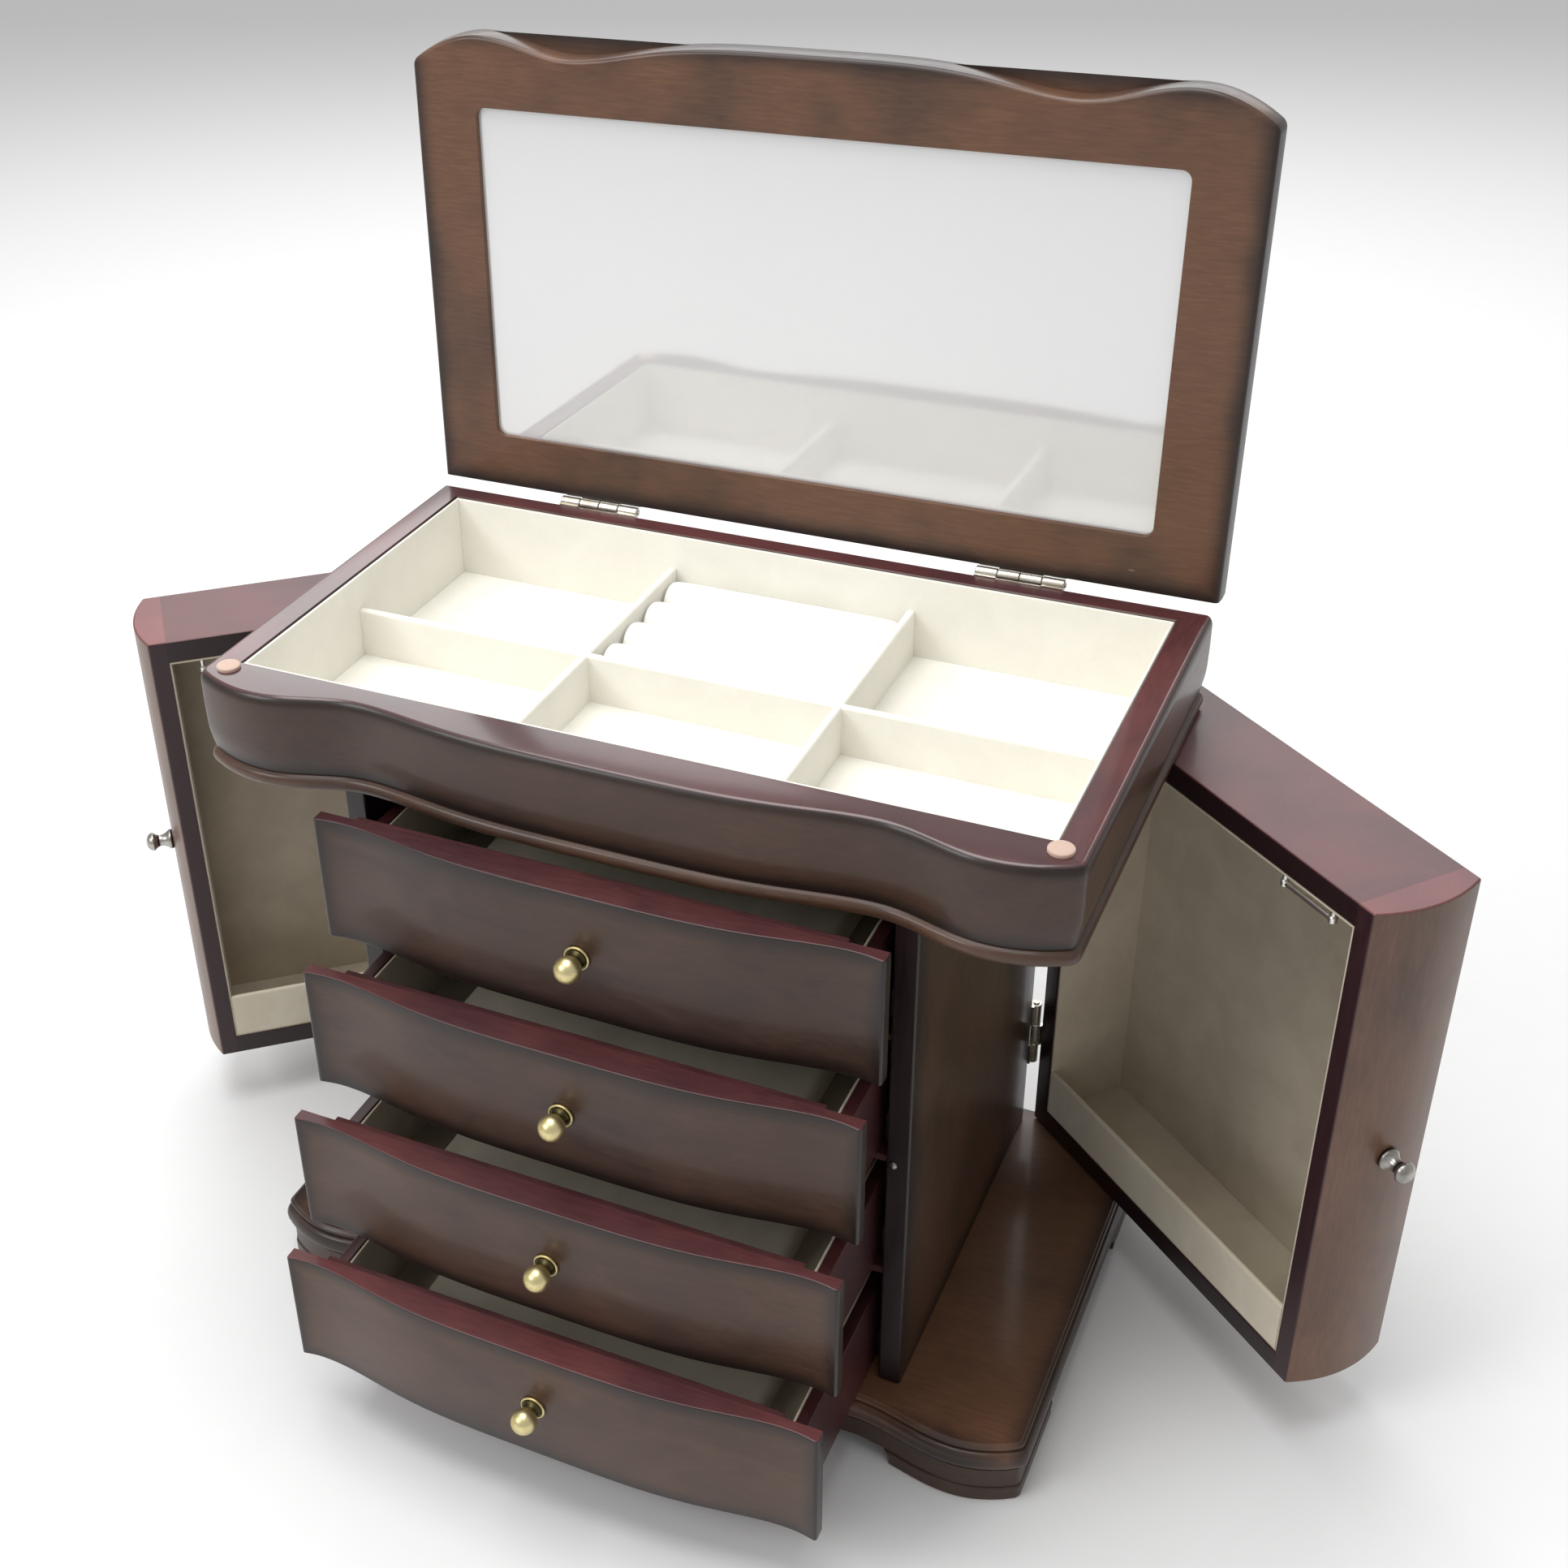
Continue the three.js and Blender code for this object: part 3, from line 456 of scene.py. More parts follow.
def prism(points, z0, z1):
    return loft([[(x, y, z) for x, y in points] for z in (z0, z1)])


def turned_shape(profile, segments=48):
    """Lathe work about the y axis: profile rows are (radius, distance towards -y)."""
    turn = [2 * math.pi * i / segments for i in range(segments)]
    rows = [(max(radius, TIP), reach) for radius, reach in profile]
    return loft([[(radius * math.sin(a), -reach, radius * math.cos(a)) for a in turn]
                 for radius, reach in rows])


def moved(shape, x=0.0, y=0.0, z=0.0, turn=None):
    vertices, faces = shape
    turn = turn or Matrix.Identity(4)
    return [tuple(turn @ Vector(v) + Vector((x, y, z))) for v in vertices], faces


def arc(radius, start, end, steps, centre=(0.0, 0.0)):
    """Points on a circle's arc, angles in degrees. A pair of radii gives an ellipse's arc."""
    wide, high = radius if isinstance(radius, tuple) else (radius, radius)
    angles = [math.radians(start + (end - start) * i / steps) for i in range(steps + 1)]
    return [(centre[0] + wide * math.cos(a), centre[1] + high * math.sin(a)) for a in angles]


ABOUT_Z = Matrix.Rotation(math.pi / 2, 4, "Z")       # takes -y to x, and x to y
STANDING = Matrix.Rotation(-math.pi / 2, 4, "Y")     # takes x to z
FACING_UP = Matrix.Rotation(-math.pi / 2, 4, "X")    # takes -y to z
FACING_BACK = Matrix.Rotation(math.pi, 4, "Z")       # takes -y to y


def rod(x0, x1, radius, rim=0.25, segments=32):
    """Round bar along x with eased ends."""
    end = x1 - x0
    profile = [(0, 0), (radius - rim, 0), (radius, rim), (radius, end - rim), (radius - rim, end), (0, end)]
    return moved(turned_shape(profile, segments), x=x0, turn=ABOUT_Z)


def piece(name, shapes, body, material, at=(0, 0, 0), replaces=(), bevel=0.0, smooth=34.0,
          segments=3, weld=False, joint=None):
    """One object made of shapes, which rides on a body and lies at a point of the body's own frame.
    A piece with a CAD node's name replaces that node. bevel rounds every edge sharper than smooth,
    but for the edges whose points joint says lie in a glued joint."""
    edit = bmesh.new()
    for points, polygons in shapes:
        corners = [edit.verts.new((x * MM, y * MM, z * MM)) for x, y, z in points]
        for polygon in polygons:
            edit.faces.new([corners[i] for i in polygon])
    if weld:
        bmesh.ops.remove_doubles(edit, verts=edit.verts, dist=0.004 * MM)
        bmesh.ops.dissolve_degenerate(edit, edges=edit.edges, dist=0.001 * MM)
    bmesh.ops.recalc_face_normals(edit, faces=edit.faces)
    limit = math.radians(smooth)
    rounded = edit.edges.layers.float.new("bevel_weight_edge")
    for face in edit.faces:
        face.smooth = len(face.verts) < 9
    for edge in edit.edges:
        if edge.calc_face_angle(0.0) < limit:
            continue
        glued = joint and all(joint(*(vertex.co / MM)) for vertex in edge.verts)
        if bevel and not glued:
            edge[rounded] = 1.0
        else:
            edge.smooth = False
    mesh = bpy.data.meshes.new(name)
    edit.to_mesh(mesh)
    edit.free()
    mesh.materials.append(material)
    thing = bpy.data.objects.new(name, mesh)
    bpy.context.scene.collection.objects.link(thing)
    thing.matrix_world = PLACES[body] @ placed(*at)
    if bevel:
        round_edges = thing.modifiers.new("round edges", "BEVEL")
        round_edges.width = bevel * MM
        round_edges.segments = segments
        round_edges.limit_method = "WEIGHT"
    if bevel or weld:
        even = thing.modifiers.new("even shading", "WEIGHTED_NORMAL")
        even.keep_sharp = True
        even.weight = 100
    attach(thing, body)
    if name in frame["nodes"]:
        replaces = [name]
    if replaces:
        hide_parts(*replaces)
    return thing


# ---------- outlines ----------
def serpentine(x, front):
    """y of the front at x: bowed in the middle, hollow at the troughs, full at the lobes."""
    bow, trough, lobe, corner = front
    reach = abs(x)
    if reach < TROUGH_X:
        t = reach / TROUGH_X
        return bow + (trough - bow) * (1 - math.cos(math.pi * t * t)) / 2
    if reach < LOBE_X:
        t = (reach - TROUGH_X) / (LOBE_X - TROUGH_X)
        return trough + (lobe - trough) * (1 - math.cos(math.pi * t)) / 2
    t = (reach - LOBE_X) / (HALF - LOBE_X)
    return lobe + (corner - lobe) * t * t


def fillet(before, corner, after, radius, steps=6):
    """Points that round a corner, from a point before it to a point after it."""
    c = Vector(corner)
    a = c + (Vector(before) - c).normalized() * radius
    b = c + (Vector(after) - c).normalized() * radius
    found = []
    for i in range(steps + 1):
        t = i / steps
        found.append(tuple(a * (1 - t) ** 2 + c * 2 * t * (1 - t) + b * t * t))
    return found


OUTLINE_STEP = 2.5


def outline(front, back, radius, half=HALF, extra_x=(), extra_y=(), side_step=None):
    """Counter-clockwise loop of (x, y, nx, ny): straight back and sides, serpentine front. The
    normal is mitred, so that moving a point along it offsets the edges evenly."""
    corner_y = serpentine(half, front)
    steps = round(2 * half / OUTLINE_STEP)
    xs = sorted([-half + 2 * half * i / steps for i in range(1, steps)] + list(extra_x))
    xs = [x for x in xs if abs(x) < half - radius * 1.2]
    curve = [(x, serpentine(x, front)) for x in xs]
    ys = sorted(extra_y)
    if side_step:
        count = round((back - corner_y) / side_step)
        ys = sorted(ys + [corner_y + (back - corner_y) * i / count for i in range(1, count)])
    ys = [y for y in ys if corner_y + radius * 1.2 < y < back - 0.5]
    left_corner = fillet((-half, back), (-half, corner_y), curve[0], radius)
    right_corner = fillet(curve[-1], (half, corner_y), (half, back), radius)
    backs = [(-x, back) for x in xs] if side_step else []
    points = ([(half, back)] + backs + [(-half, back)] + [(-half, y) for y in reversed(ys)]
              + left_corner + curve + right_corner + [(half, y) for y in ys])
    loop = []
    for i, (x, y) in enumerate(points):
        a = (Vector((x, y)) - Vector(points[i - 1])).normalized()
        b = (Vector(points[(i + 1) % len(points)]) - Vector((x, y))).normalized()
        normal = Vector((a.y + b.y, -a.x - b.x)).normalized()
        normal /= max(0.3, normal.dot(Vector((a.y, -a.x))))
        loop.append((x, y, normal.x, normal.y))
    return loop


def flat_back(loop, back):
    """The same loop with its back edge held in place when it is offset."""
    return [(x, y, math.copysign(1, x) * (abs(x) > 1) if y > back - 0.01 else nx,
             0.0 if y > back - 0.01 else ny) for x, y, nx, ny in loop]


def moulded(loop, profile):
    """Solid through a stack of offset outlines: profile rows are (offset, z). An inset deep for its
    corner radius folds the corners over, so it is kept shallow."""
    return loft([[(x + nx * d, y + ny * d, z) for x, y, nx, ny in loop] for d, z in profile])


def wall(loop, profile, inner, close=False):
    """Hollow moulding: the outside follows the offset loop, the inside follows the box inner."""
    x0, x1, y0, y1 = inner
    ease = 0.5
    top, bottom = profile[-1][1], profile[0][1]
    rings = []
    for x, y, nx, ny in loop:
        ring = [(x + nx * d, y + ny * d, z) for d, z in profile]
        for grow, z in ((ease, top), (0, top - ease), (0, bottom)):
            ring.append((min(max(x, x0 - grow), x1 + grow), min(max(y, y0 - grow), y1 + grow), z))
        rings.append(ring)
    return loft(rings, close=close)


def middle_index(loop, x, y):
    return min(range(len(loop)), key=lambda i: (loop[i][0] - x) ** 2 + (loop[i][1] - y) ** 2)


# ---------- base ----------
FOOT_GAP_HEIGHT = 8
FOOT_GAP_FRONT = 118
FOOT_GAP_SIDE = 51
APRON_THICKNESS = 12
BASE_CORNER = 2.2
BASE_BOX = (2 * HALF, 204, 14)


def foot_gap(along, half):
    """Height of the apron's lower edge: feet at the ends, a rounded cut-out between them."""
    inside = half - abs(along)
    if inside <= 0:
        return 0.0
    t = math.sqrt(min(1.0, inside / (1.6 * FOOT_GAP_HEIGHT)))
    return FOOT_GAP_HEIGHT * (1 - 0.55 * (1 - t) ** 2)


def gap_samples(half):
    """Extra places along an apron where its cut-out bends."""
    offsets = [-0.02, 0.02] + [1.6 * FOOT_GAP_HEIGHT * (i / 8) ** 2 for i in range(1, 9)]
    return [sign * (half - d) for sign in (-1, 1) for d in offsets]


def make_base():
    profile = [(-1.5, 0), (-1.4, 0.1), (-1.2, 0.8)] + arc((2.9, 4.5), -84, 84, 14, (-0.3, 5.6))
    profile += [(-0.9, 10.4), (-0.9, 10.9), (0.1, 11.3), (0.35, 11.7), (0.35, 12.7), (0.05, 13.1)]
    profile = [(d, BASE_UNDER + z) for d, z in profile + [(-0.7, 13.3)]]
    profile += [(-0.9, BASE_TOP - 0.35), (-1.3, BASE_TOP)]
    wood = walnut("base_walnut", edges="xy", size=BASE_BOX, edge_width=14, burnish=1.3, tone=1.1)
    loop = outline(BASE_FRONT, BASE_BACK, BASE_CORNER)
    piece("base_board", [moulded(loop, profile)], "chest", wood, smooth=50)

    top = BASE_UNDER - 0.2
    outer = outline(BASE_FRONT, BASE_BACK, BASE_CORNER, extra_x=gap_samples(FOOT_GAP_FRONT),
                    extra_y=gap_samples(FOOT_GAP_SIDE), side_step=4)
    bands = [(0.1, 0.0), (0.5, 0.4), (0.6, 0.9), (0.6, 5.9), (0.45, 6.35), (-0.1, 6.7), (-0.5, 6.9),
             (-0.5, 7.25), (0.1, 7.45), (0.3, 7.8), (0.0, 8.6), (0.0, top)]
    inner_x = HALF - APRON_THICKNESS
    inner_y0 = BASE_FRONT[1] + APRON_THICKNESS
    inner_y1 = BASE_BACK - APRON_THICKNESS
    rings = []
    for x, y, nx, ny in outer:
        across = abs(x) > HALF - 3 and inner_y0 < y < inner_y1
        low = foot_gap(y, FOOT_GAP_SIDE) if across else foot_gap(x, FOOT_GAP_FRONT)
        heights = [max(z, low) for _, z in bands]
        ring = [(x + nx * offset_at(bands, z), y + ny * offset_at(bands, z), z) for z in heights]
        ix = min(max(x, -inner_x), inner_x)
        iy = min(max(y, inner_y0), inner_y1)
        rings.append(ring + [(ix, iy, top), (ix, iy, low)])
    apron_wood = walnut("apron_walnut", burnish=0.3, tone=0.72)
    piece("base_apron", [loft(rings, close=True)], "chest", apron_wood, smooth=40, weld=True)


def offset_at(bands, z):
    """Offset of the bands' outline at height z."""
    for (d0, z0), (d1, z1) in zip(bands, bands[1:]):
        if z <= z1:
            return d0 + (d1 - d0) * (z - z0) / (z1 - z0)
    return bands[-1][0]


# ---------- carcass ----------
PANEL_OUTER = 116.6
PANEL_INNER = 107.4
STUD_X = 110.2
STUD_Z = (span("drawer_3_front")[1].z + span("drawer_2_front")[0].z) / 2
STUD_RADIUS = 1.7
GUIDE_HEIGHT = 14
GUIDE_TOP = 16                               # above the underside of its drawer
SIDE_BOX = (10, 173, 231)
BACK_BOX = (214, 4, 231)


def make_carcass():
    low = BASE_TOP + 0.05
    high = CASE_BOTTOM - 0.05
    # The panels' front edges, looking along -y, are painted nearly black: a painted shade.
    wood = walnut("panel_walnut", grain="z", edges="yz", size=SIDE_BOX, edge_width=20, burnish=0.6,
                  tone=0.8, shade=[(0, -1, 0)])
    stud = [(0, -0.5), (STUD_RADIUS, -0.5), (STUD_RADIUS, 0.15)]
    stud += arc((STUD_RADIUS, 1.0), 0, 80, 8, (0, 0.15)) + [(0, 1.15)]
    for name, side in SIDES:
        shapes = [board(side * PANEL_INNER, side * PANEL_OUTER, CARCASS_FRONT, CARCASS_BACK, low, high)]
        for number in range(1, 5):
            z = span(f"drawer_{number}_box")[0].z + GUIDE_TOP
            shapes.append(board(side * (PANEL_INNER + 1), side * (PANEL_INNER - 3.6), CARCASS_FRONT + 8,
                                CARCASS_BACK - 11, z - GUIDE_HEIGHT, z))
        piece(f"carcass_side_{name}", shapes, "chest", wood, bevel=0.9)
        piece(f"carcass_stud_{name}", [moved(turned_shape(stud, 32), side * STUD_X, CARCASS_FRONT, STUD_Z)],
              "chest", STUD)
    back = walnut("back_walnut", grain="z", edges="xz", size=BACK_BOX)
    reach = PANEL_INNER - 0.1
    piece("carcass_back", [board(-reach, reach, CARCASS_BACK - 4, CARCASS_BACK - 0.4, low, high)], "chest",
          back, bevel=0.3)
    for i in (1, 2, 3):
        z0, z1 = (corner.z for corner in span(f"dust_panel_{i}"))
        piece(f"dust_panel_{i}", [board(-reach, reach, CARCASS_FRONT + 2.8, CARCASS_BACK - 4.2, z0, z1)],
              "chest", PLUM_SHADED, bevel=0.5)


# ---------- tray case ----------
CASE_CORNER = 2.2
CASE_FRONT_BOX = (346, 20, 33.7)
CASE_SIDE_BOX = (10, 165, 33.7)


def case_profile():
    """Outside of the case wall from its neck up: a hollow taper, a soft swell, a rounded top."""
    swell = 13
    rows = []
    for i in range(9):
        t = i / 8
        rows.append((1.2 + 1.8 * math.sin(math.pi / 2 * t), WALL_BOTTOM + swell * t))
    rows.append((3.1, (WALL_BOTTOM + swell + RIM - 5.5) / 2))
    return rows + arc((2.8, 4.4), 0, 90, 10, (0.2, RIM - 4.4))


def make_case():
    loop = flat_back(outline(RIM_FRONT, CASE_DEPTH_HALF, CASE_CORNER), CASE_DEPTH_HALF)
    inner = (-INNER_HALF, INNER_HALF, INNER_FRONT, INNER_BACK)
    profile = case_profile()
    left, right = (middle_index(loop, side * (HALF - 0.5), RIM_FRONT[3] + 0.5) for side in (-1, 1))
    up = (0, 0, 1)
    # tone 0.66 keeps the case front darker than its sides: a painted shade, the top of the same
    # top-to-bottom gradient as the drawer fronts.
    front_wood = walnut("case_walnut", edges="z", size=CASE_FRONT_BOX, edge_width=7, burnish=0.55,
                        plum=[up, (0, 1, 0)], tone=0.66, gloss=0.9)
    side_wood = walnut("case_side_walnut", grain="y", edges="z", size=CASE_SIDE_BOX, edge_width=7,
                       burnish=0.55, plum=[up], gloss=0.8)
    back_wood = walnut("case_back_walnut", burnish=0.3, plum=[up])
    for name, stretch, wood in (("case_front", loop[left:right + 1], front_wood),
                                ("case_side_left", loop[1:left + 1], side_wood),
                                ("case_side_right", loop[right:] + loop[:1], side_wood),
                                ("case_back", loop[:2], back_wood)):
        piece(name, [wall(stretch, profile, inner)], "chest", wood, smooth=40)

    bead = [(0.2, 0), (1.3, 0.05)] + arc((1.95, 2.75), -80, 80, 12, (1.1, 2.8)) + [(1.2, 5.75), (0.5, 6.1)]
    bead = [(d, CASE_BOTTOM + z) for d, z in bead]
    bead_wood = walnut("bead_walnut", burnish=0.75, tone=0.9)
    panel = board(0.05 - INNER_HALF, INNER_HALF - 0.05, INNER_FRONT + 0.05, INNER_BACK - 0.05,
                  CASE_BOTTOM + 0.02, CASE_BOTTOM + 2.4)
    piece("case_bottom_board", [wall(loop, bead, inner, close=True), panel], "chest", bead_wood,
          smooth=50)


# ---------- tray: lining boards, dividers, ring rolls, bumpers ----------
RING_ROLLS = 4
ROLL_RADIUS = 9.6
ROLL_PITCH = 19.8
ROLL_HALF = SHORT_DIVIDER_X - DIVIDER_HALF - 0.4
BUMPER_AT = (162.5, -87.5)
BUMPER_RADIUS = 4.6
TRAY_BOARD = 1.2
DIVIDER_ROUND = 1.2
BOARD_ROUND = 0.5


def upright_board(x0, x1, y0, y1, z0, z1, along, ease=BOARD_ROUND):
    """Cloth-wrapped board standing on edge, with a rounded top. along is the axis of its length."""
    u0, u1, v0, v1 = (x0, x1, y0, y1) if along == "x" else (y0, y1, x0, x1)
    radius = min(ease, (v1 - v0) / 2 - 0.05)
    section = [(v1, z0), (v1, z1 - radius)]
    section += arc(radius, 8, 90, 5, (v1 - radius, z1 - radius))
    section += arc(radius, 90, 172, 5, (v0 + radius, z1 - radius)) + [(v0, z1 - radius), (v0, z0)]
    pick = (lambda u, v, z: (u, v, z)) if along == "x" else (lambda u, v, z: (v, u, z))
    return loft([[pick(u, v, z) for v, z in section] for u in (u0, u1)])


def make_tray():
    x1, y0, y1 = INNER_HALF - 0.15, INNER_FRONT + 0.15, INNER_BACK - 0.15
    inner_x, inner_y0, inner_y1 = x1 - TRAY_BOARD, y0 + TRAY_BOARD, y1 - TRAY_BOARD
    top = RIM - 0.5
    low = TRAY_FLOOR - 0.8
    walls = [
        upright_board(-x1, x1, y0, inner_y0, low, top, "x"),
        upright_board(-x1, x1, inner_y1, y1, low, top, "x"),
        upright_board(-x1, -inner_x, inner_y0, inner_y1, low, top, "y"),
        upright_board(inner_x, x1, inner_y0, inner_y1, low, top, "y"),
        board(-inner_x, inner_x, inner_y0, inner_y1, low, TRAY_FLOOR),
    ]
    piece("tray_lining", walls, "chest", CREAM, bevel=0.25, segments=2)
    reach = inner_x - 0.1
    divider = upright_board(-reach, reach, LONG_DIVIDER_Y - DIVIDER_HALF, LONG_DIVIDER_Y + DIVIDER_HALF,
                            TRAY_FLOOR, DIVIDER_TOP, "x", DIVIDER_ROUND)
    piece("long_divider", [divider], "chest", CREAM, smooth=50)
    disc = [(0, -0.3), (BUMPER_RADIUS, -0.3), (BUMPER_RADIUS, 0.8)]
    disc += arc(0.6, 0, 80, 4, (BUMPER_RADIUS - 0.6, 0.8)) + [(2.4, 1.55), (0, 1.6)]
    for name, side in SIDES:
        x = side * SHORT_DIVIDER_X
        divider = upright_board(x - DIVIDER_HALF, x + DIVIDER_HALF, inner_y0 + 0.1, inner_y1 - 0.1,
                                TRAY_FLOOR, DIVIDER_TOP + 0.12, "y", DIVIDER_ROUND)
        piece(f"short_divider_{name}", [divider], "chest", CREAM, smooth=50)
        bumper = moved(turned_shape(disc), side * BUMPER_AT[0], BUMPER_AT[1], RIM, FACING_UP)
        piece(f"lid_bumper_{name}", [bumper], "chest", FELT)
    make_ring_rolls(inner_y1)


ROLL_STATIONS = 46
ROLL_AROUND = 44
ROLL_ENDS = ((0.0, 0.04), (0.25, 0.60), (0.9, 0.87), (2.0, 0.97))   # (in from the end, share of radius)


def make_ring_rolls(rear):
    """Four stuffed rolls side by side. Their shape is the loft's, because the cloth run moves their
    surface by no more than about 0.02 mm."""
    turn = [2 * math.pi * j / ROLL_AROUND for j in range(ROLL_AROUND)]
    z = TRAY_FLOOR + ROLL_RADIUS + 0.3
    for i in range(RING_ROLLS):
        y = rear - 0.4 - ROLL_RADIUS - ROLL_PITCH * i
        rings = []
        for k in range(ROLL_STATIONS + 1):
            x = -ROLL_HALF + 0.5 + (2 * ROLL_HALF - 1) * k / ROLL_STATIONS
            radius = ROLL_RADIUS - 0.35
            end = min(k, ROLL_STATIONS - k)
            if end < len(ROLL_ENDS):
                inset, share = ROLL_ENDS[end]
                radius *= share
                x = math.copysign(ROLL_HALF - 0.3, x) - math.copysign(inset, x)
            rings.append([(x, y + radius * math.sin(a), z + radius * math.cos(a)) for a in turn])
        roll = piece(f"ring_roll_{i + 1}", [loft(rings)], "chest", CREAM_ROLL,
                     replaces=["ring_roll_pad"], smooth=80)
        stuff(roll, pressure=3.0, cap=0.5)


CLOTH_FRAMES = 20
CLOTH_STIFFNESS = 12


def stuff(pad, pressure, cap):
    """Blow a closed mesh up as cloth, move no point further than cap, then smooth the surface."""
    inflate(pad, pressure, cap * MM)
    smoothed = pad.modifiers.new("soft surface", "SUBSURF")
    smoothed.levels = smoothed.render_levels = 1


def inflate(pad, pressure, cap):
    scene = bpy.context.scene
    cloth = pad.modifiers.new("stuffing", "CLOTH")
    cloth.settings.use_pressure = True
    cloth.settings.uniform_pressure_force = pressure
    cloth.settings.effector_weights.gravity = 0
    cloth.settings.quality = 5
    cloth.settings.tension_stiffness = CLOTH_STIFFNESS
    cloth.settings.compression_stiffness = CLOTH_STIFFNESS
    cloth.settings.bending_stiffness = 0.4
    cloth.point_cache.frame_end = CLOTH_FRAMES
    for number in range(1, CLOTH_FRAMES + 1):
        scene.frame_set(number)
    shape = pad.evaluated_get(bpy.context.evaluated_depsgraph_get())
    after = [v.co.copy() for v in shape.data.vertices]
    pad.modifiers.remove(cloth)
    scene.frame_set(1)
    for vertex, new in zip(pad.data.vertices, after):
        move = new - vertex.co
        if move.length > cap:
            move *= cap / move.length
        vertex.co += move


# ---------- lid ----------
WINDOW_CORNER = 4.0
WINDOW_STEPS = 8


def rounded_window(grow, square=False):
    """Loop of (x, y) round the mirror opening, counter-clockwise. square keeps its corners sharp."""
    x1, y0, y1 = MIRROR_HALF - WINDOW_CORNER, MIRROR_END + WINDOW_CORNER, MIRROR_START - WINDOW_CORNER
    loop = []
    for cx, cy, start in ((x1, y0, -90), (x1, y1, 0), (-x1, y1, 90), (-x1, y0, 180)):
        for x, y in arc(WINDOW_CORNER + grow, start, start + 90, WINDOW_STEPS, (cx, cy)):
            if square:
                x = math.copysign(MIRROR_HALF + grow, x)
                y = MIRROR_START + grow if cy == y1 else MIRROR_END - grow
            loop.append((x, y))
    return loop


def plate_with_window(loop, outer_profile, windows):
    """Board with an opening: outer_profile rows are (offset, z), windows are (loop, z) rings."""
    edit = bmesh.new()

    def rings_of(rings):
        rows = [[edit.verts.new(p) for p in ring] for ring in rings]
        for low, high in zip(rows, rows[1:]):
            for i in range(len(low)):
                k = (i + 1) % len(low)
                quad = [low[i], low[k], high[k], high[i]]
                if len(set(quad)) == 4:
                    edit.faces.new(quad)
        return rows

    outer = rings_of([[(x + nx * d, y + ny * d, z) for x, y, nx, ny in loop] for d, z in outer_profile])
    inner = rings_of([[(x, y, z) for x, y in window] for window, z in windows])
    edit.edges.ensure_lookup_table()
    for level in (0, -1):
        border = []
        for row in (outer[level], inner[level]):
            for i in range(len(row)):
                border.append(edit.edges.get((row[i], row[(i + 1) % len(row)])))
        bmesh.ops.triangle_fill(edit, use_beauty=True, use_dissolve=False, edges=border)
    edit.verts.index_update()
    vertices = [tuple(v.co) for v in edit.verts]
    faces = [tuple(v.index for v in face.verts) for face in edit.faces]
    edit.free()
    return vertices, faces


LID_CORNER = 2.0
LID_OVERHANG = 0.9
LID_FRAME_BOX = (2 * LID_HALF, 195, 9.2)
LID_COVER_BOX = (2 * LID_HALF, 195, 5)


def make_lid():
    loop = flat_back(outline(LID_FRONT, LID_EDGE, LID_CORNER, half=LID_HALF), LID_EDGE)
    seat = LID_FACE + MIRROR_REVEAL + 0.1
    joint = LID_FRAME_TOP + 0.02
    outer_profile = arc(1.9, -90, 0, 6, (-1.4, LID_FACE + 1.9))
    outer_profile += [(LID_OVERHANG, LID_FACE + 5), (LID_OVERHANG, joint)]
    windows = [
        (rounded_window(0.7), LID_FACE),
        (rounded_window(0.2), LID_FACE + 0.2),
        (rounded_window(0.0), LID_FACE + 0.7),
        (rounded_window(0.0), seat),
        (rounded_window(MIRROR_LIP, square=True), seat),
        (rounded_window(MIRROR_LIP, square=True), joint),
    ]
    wood = walnut("lid_walnut", edges="xy", size=LID_FRAME_BOX, edge_width=10, burnish=1.25, nicks=True)
    piece("lid_frame", [plate_with_window(loop, outer_profile, windows)], "lid", wood,
          smooth=40, weld=True)
    glass = rounded_window(MIRROR_LIP - 0.4, square=True)[::WINDOW_STEPS + 1]
    piece("lid_mirror", [prism(glass, seat + 0.05, seat + 3.05)], "lid", MIRROR_PAINTED_GREY, bevel=0.4)
    low = LID_FRAME_TOP + 0.05
    shoulder = low + 0.8
    rows = [(LID_OVERHANG, low), (LID_OVERHANG, shoulder)]
    rows += arc((2.2, LID_TOP - shoulder), 10, 90, 8, (LID_OVERHANG - 2.2, shoulder))
    cover = walnut("lid_cover_walnut", edges="xy", size=LID_COVER_BOX, edge_width=18, burnish=0.8)
    piece("lid_top_panel", [moulded(loop, rows)], "lid", cover, smooth=40)


# ---------- hinges ----------
LID_KNUCKLE = 2.3
DOOR_KNUCKLE = 2.6
SCREW_RADIUS = 1.7
LEAF_CORNER = 1.2


def leaf(x0, x1, z0, z1, y0, y1):
    """Thin upright plate in the xz plane with rounded corners."""
    corners = [(x1, z0), (x1, z1), (x0, z1), (x0, z0)]
    loop = []
    for i, corner in enumerate(corners):
        loop += fillet(corners[i - 1], corner, corners[(i + 1) % 4], LEAF_CORNER, 3)
    return loft([[(x, y, z) for x, z in loop] for y in (y0, y1)])


def screws(y, places):
    """Slotted dome heads lying on the plane y at the places (x, z), and looking back."""
    rim = [(0, -0.2), (SCREW_RADIUS, -0.2), (SCREW_RADIUS, 0.12), (SCREW_RADIUS - 0.35, 0.4), (0, 0.42)]
    shapes = [turned_shape(rim, 28)]
    for flip in (1, -1):
        edge = [(flip * x, flip * z) for x, z in arc(SCREW_RADIUS - 0.4, 8, 172, 10)]
        shapes.append(loft([[(x, -0.3, z) for x, z in edge],
                            [(0.8 * x, -0.7, 0.8 * z + flip * 0.05) for x, z in edge]]))
    return [moved(shape, x, y, z, FACING_BACK) for x, z in places for shape in shapes]


def hinge_leaf(name, shapes, body):
    piece(name, shapes, body, NICKEL, bevel=0.15, segments=2)


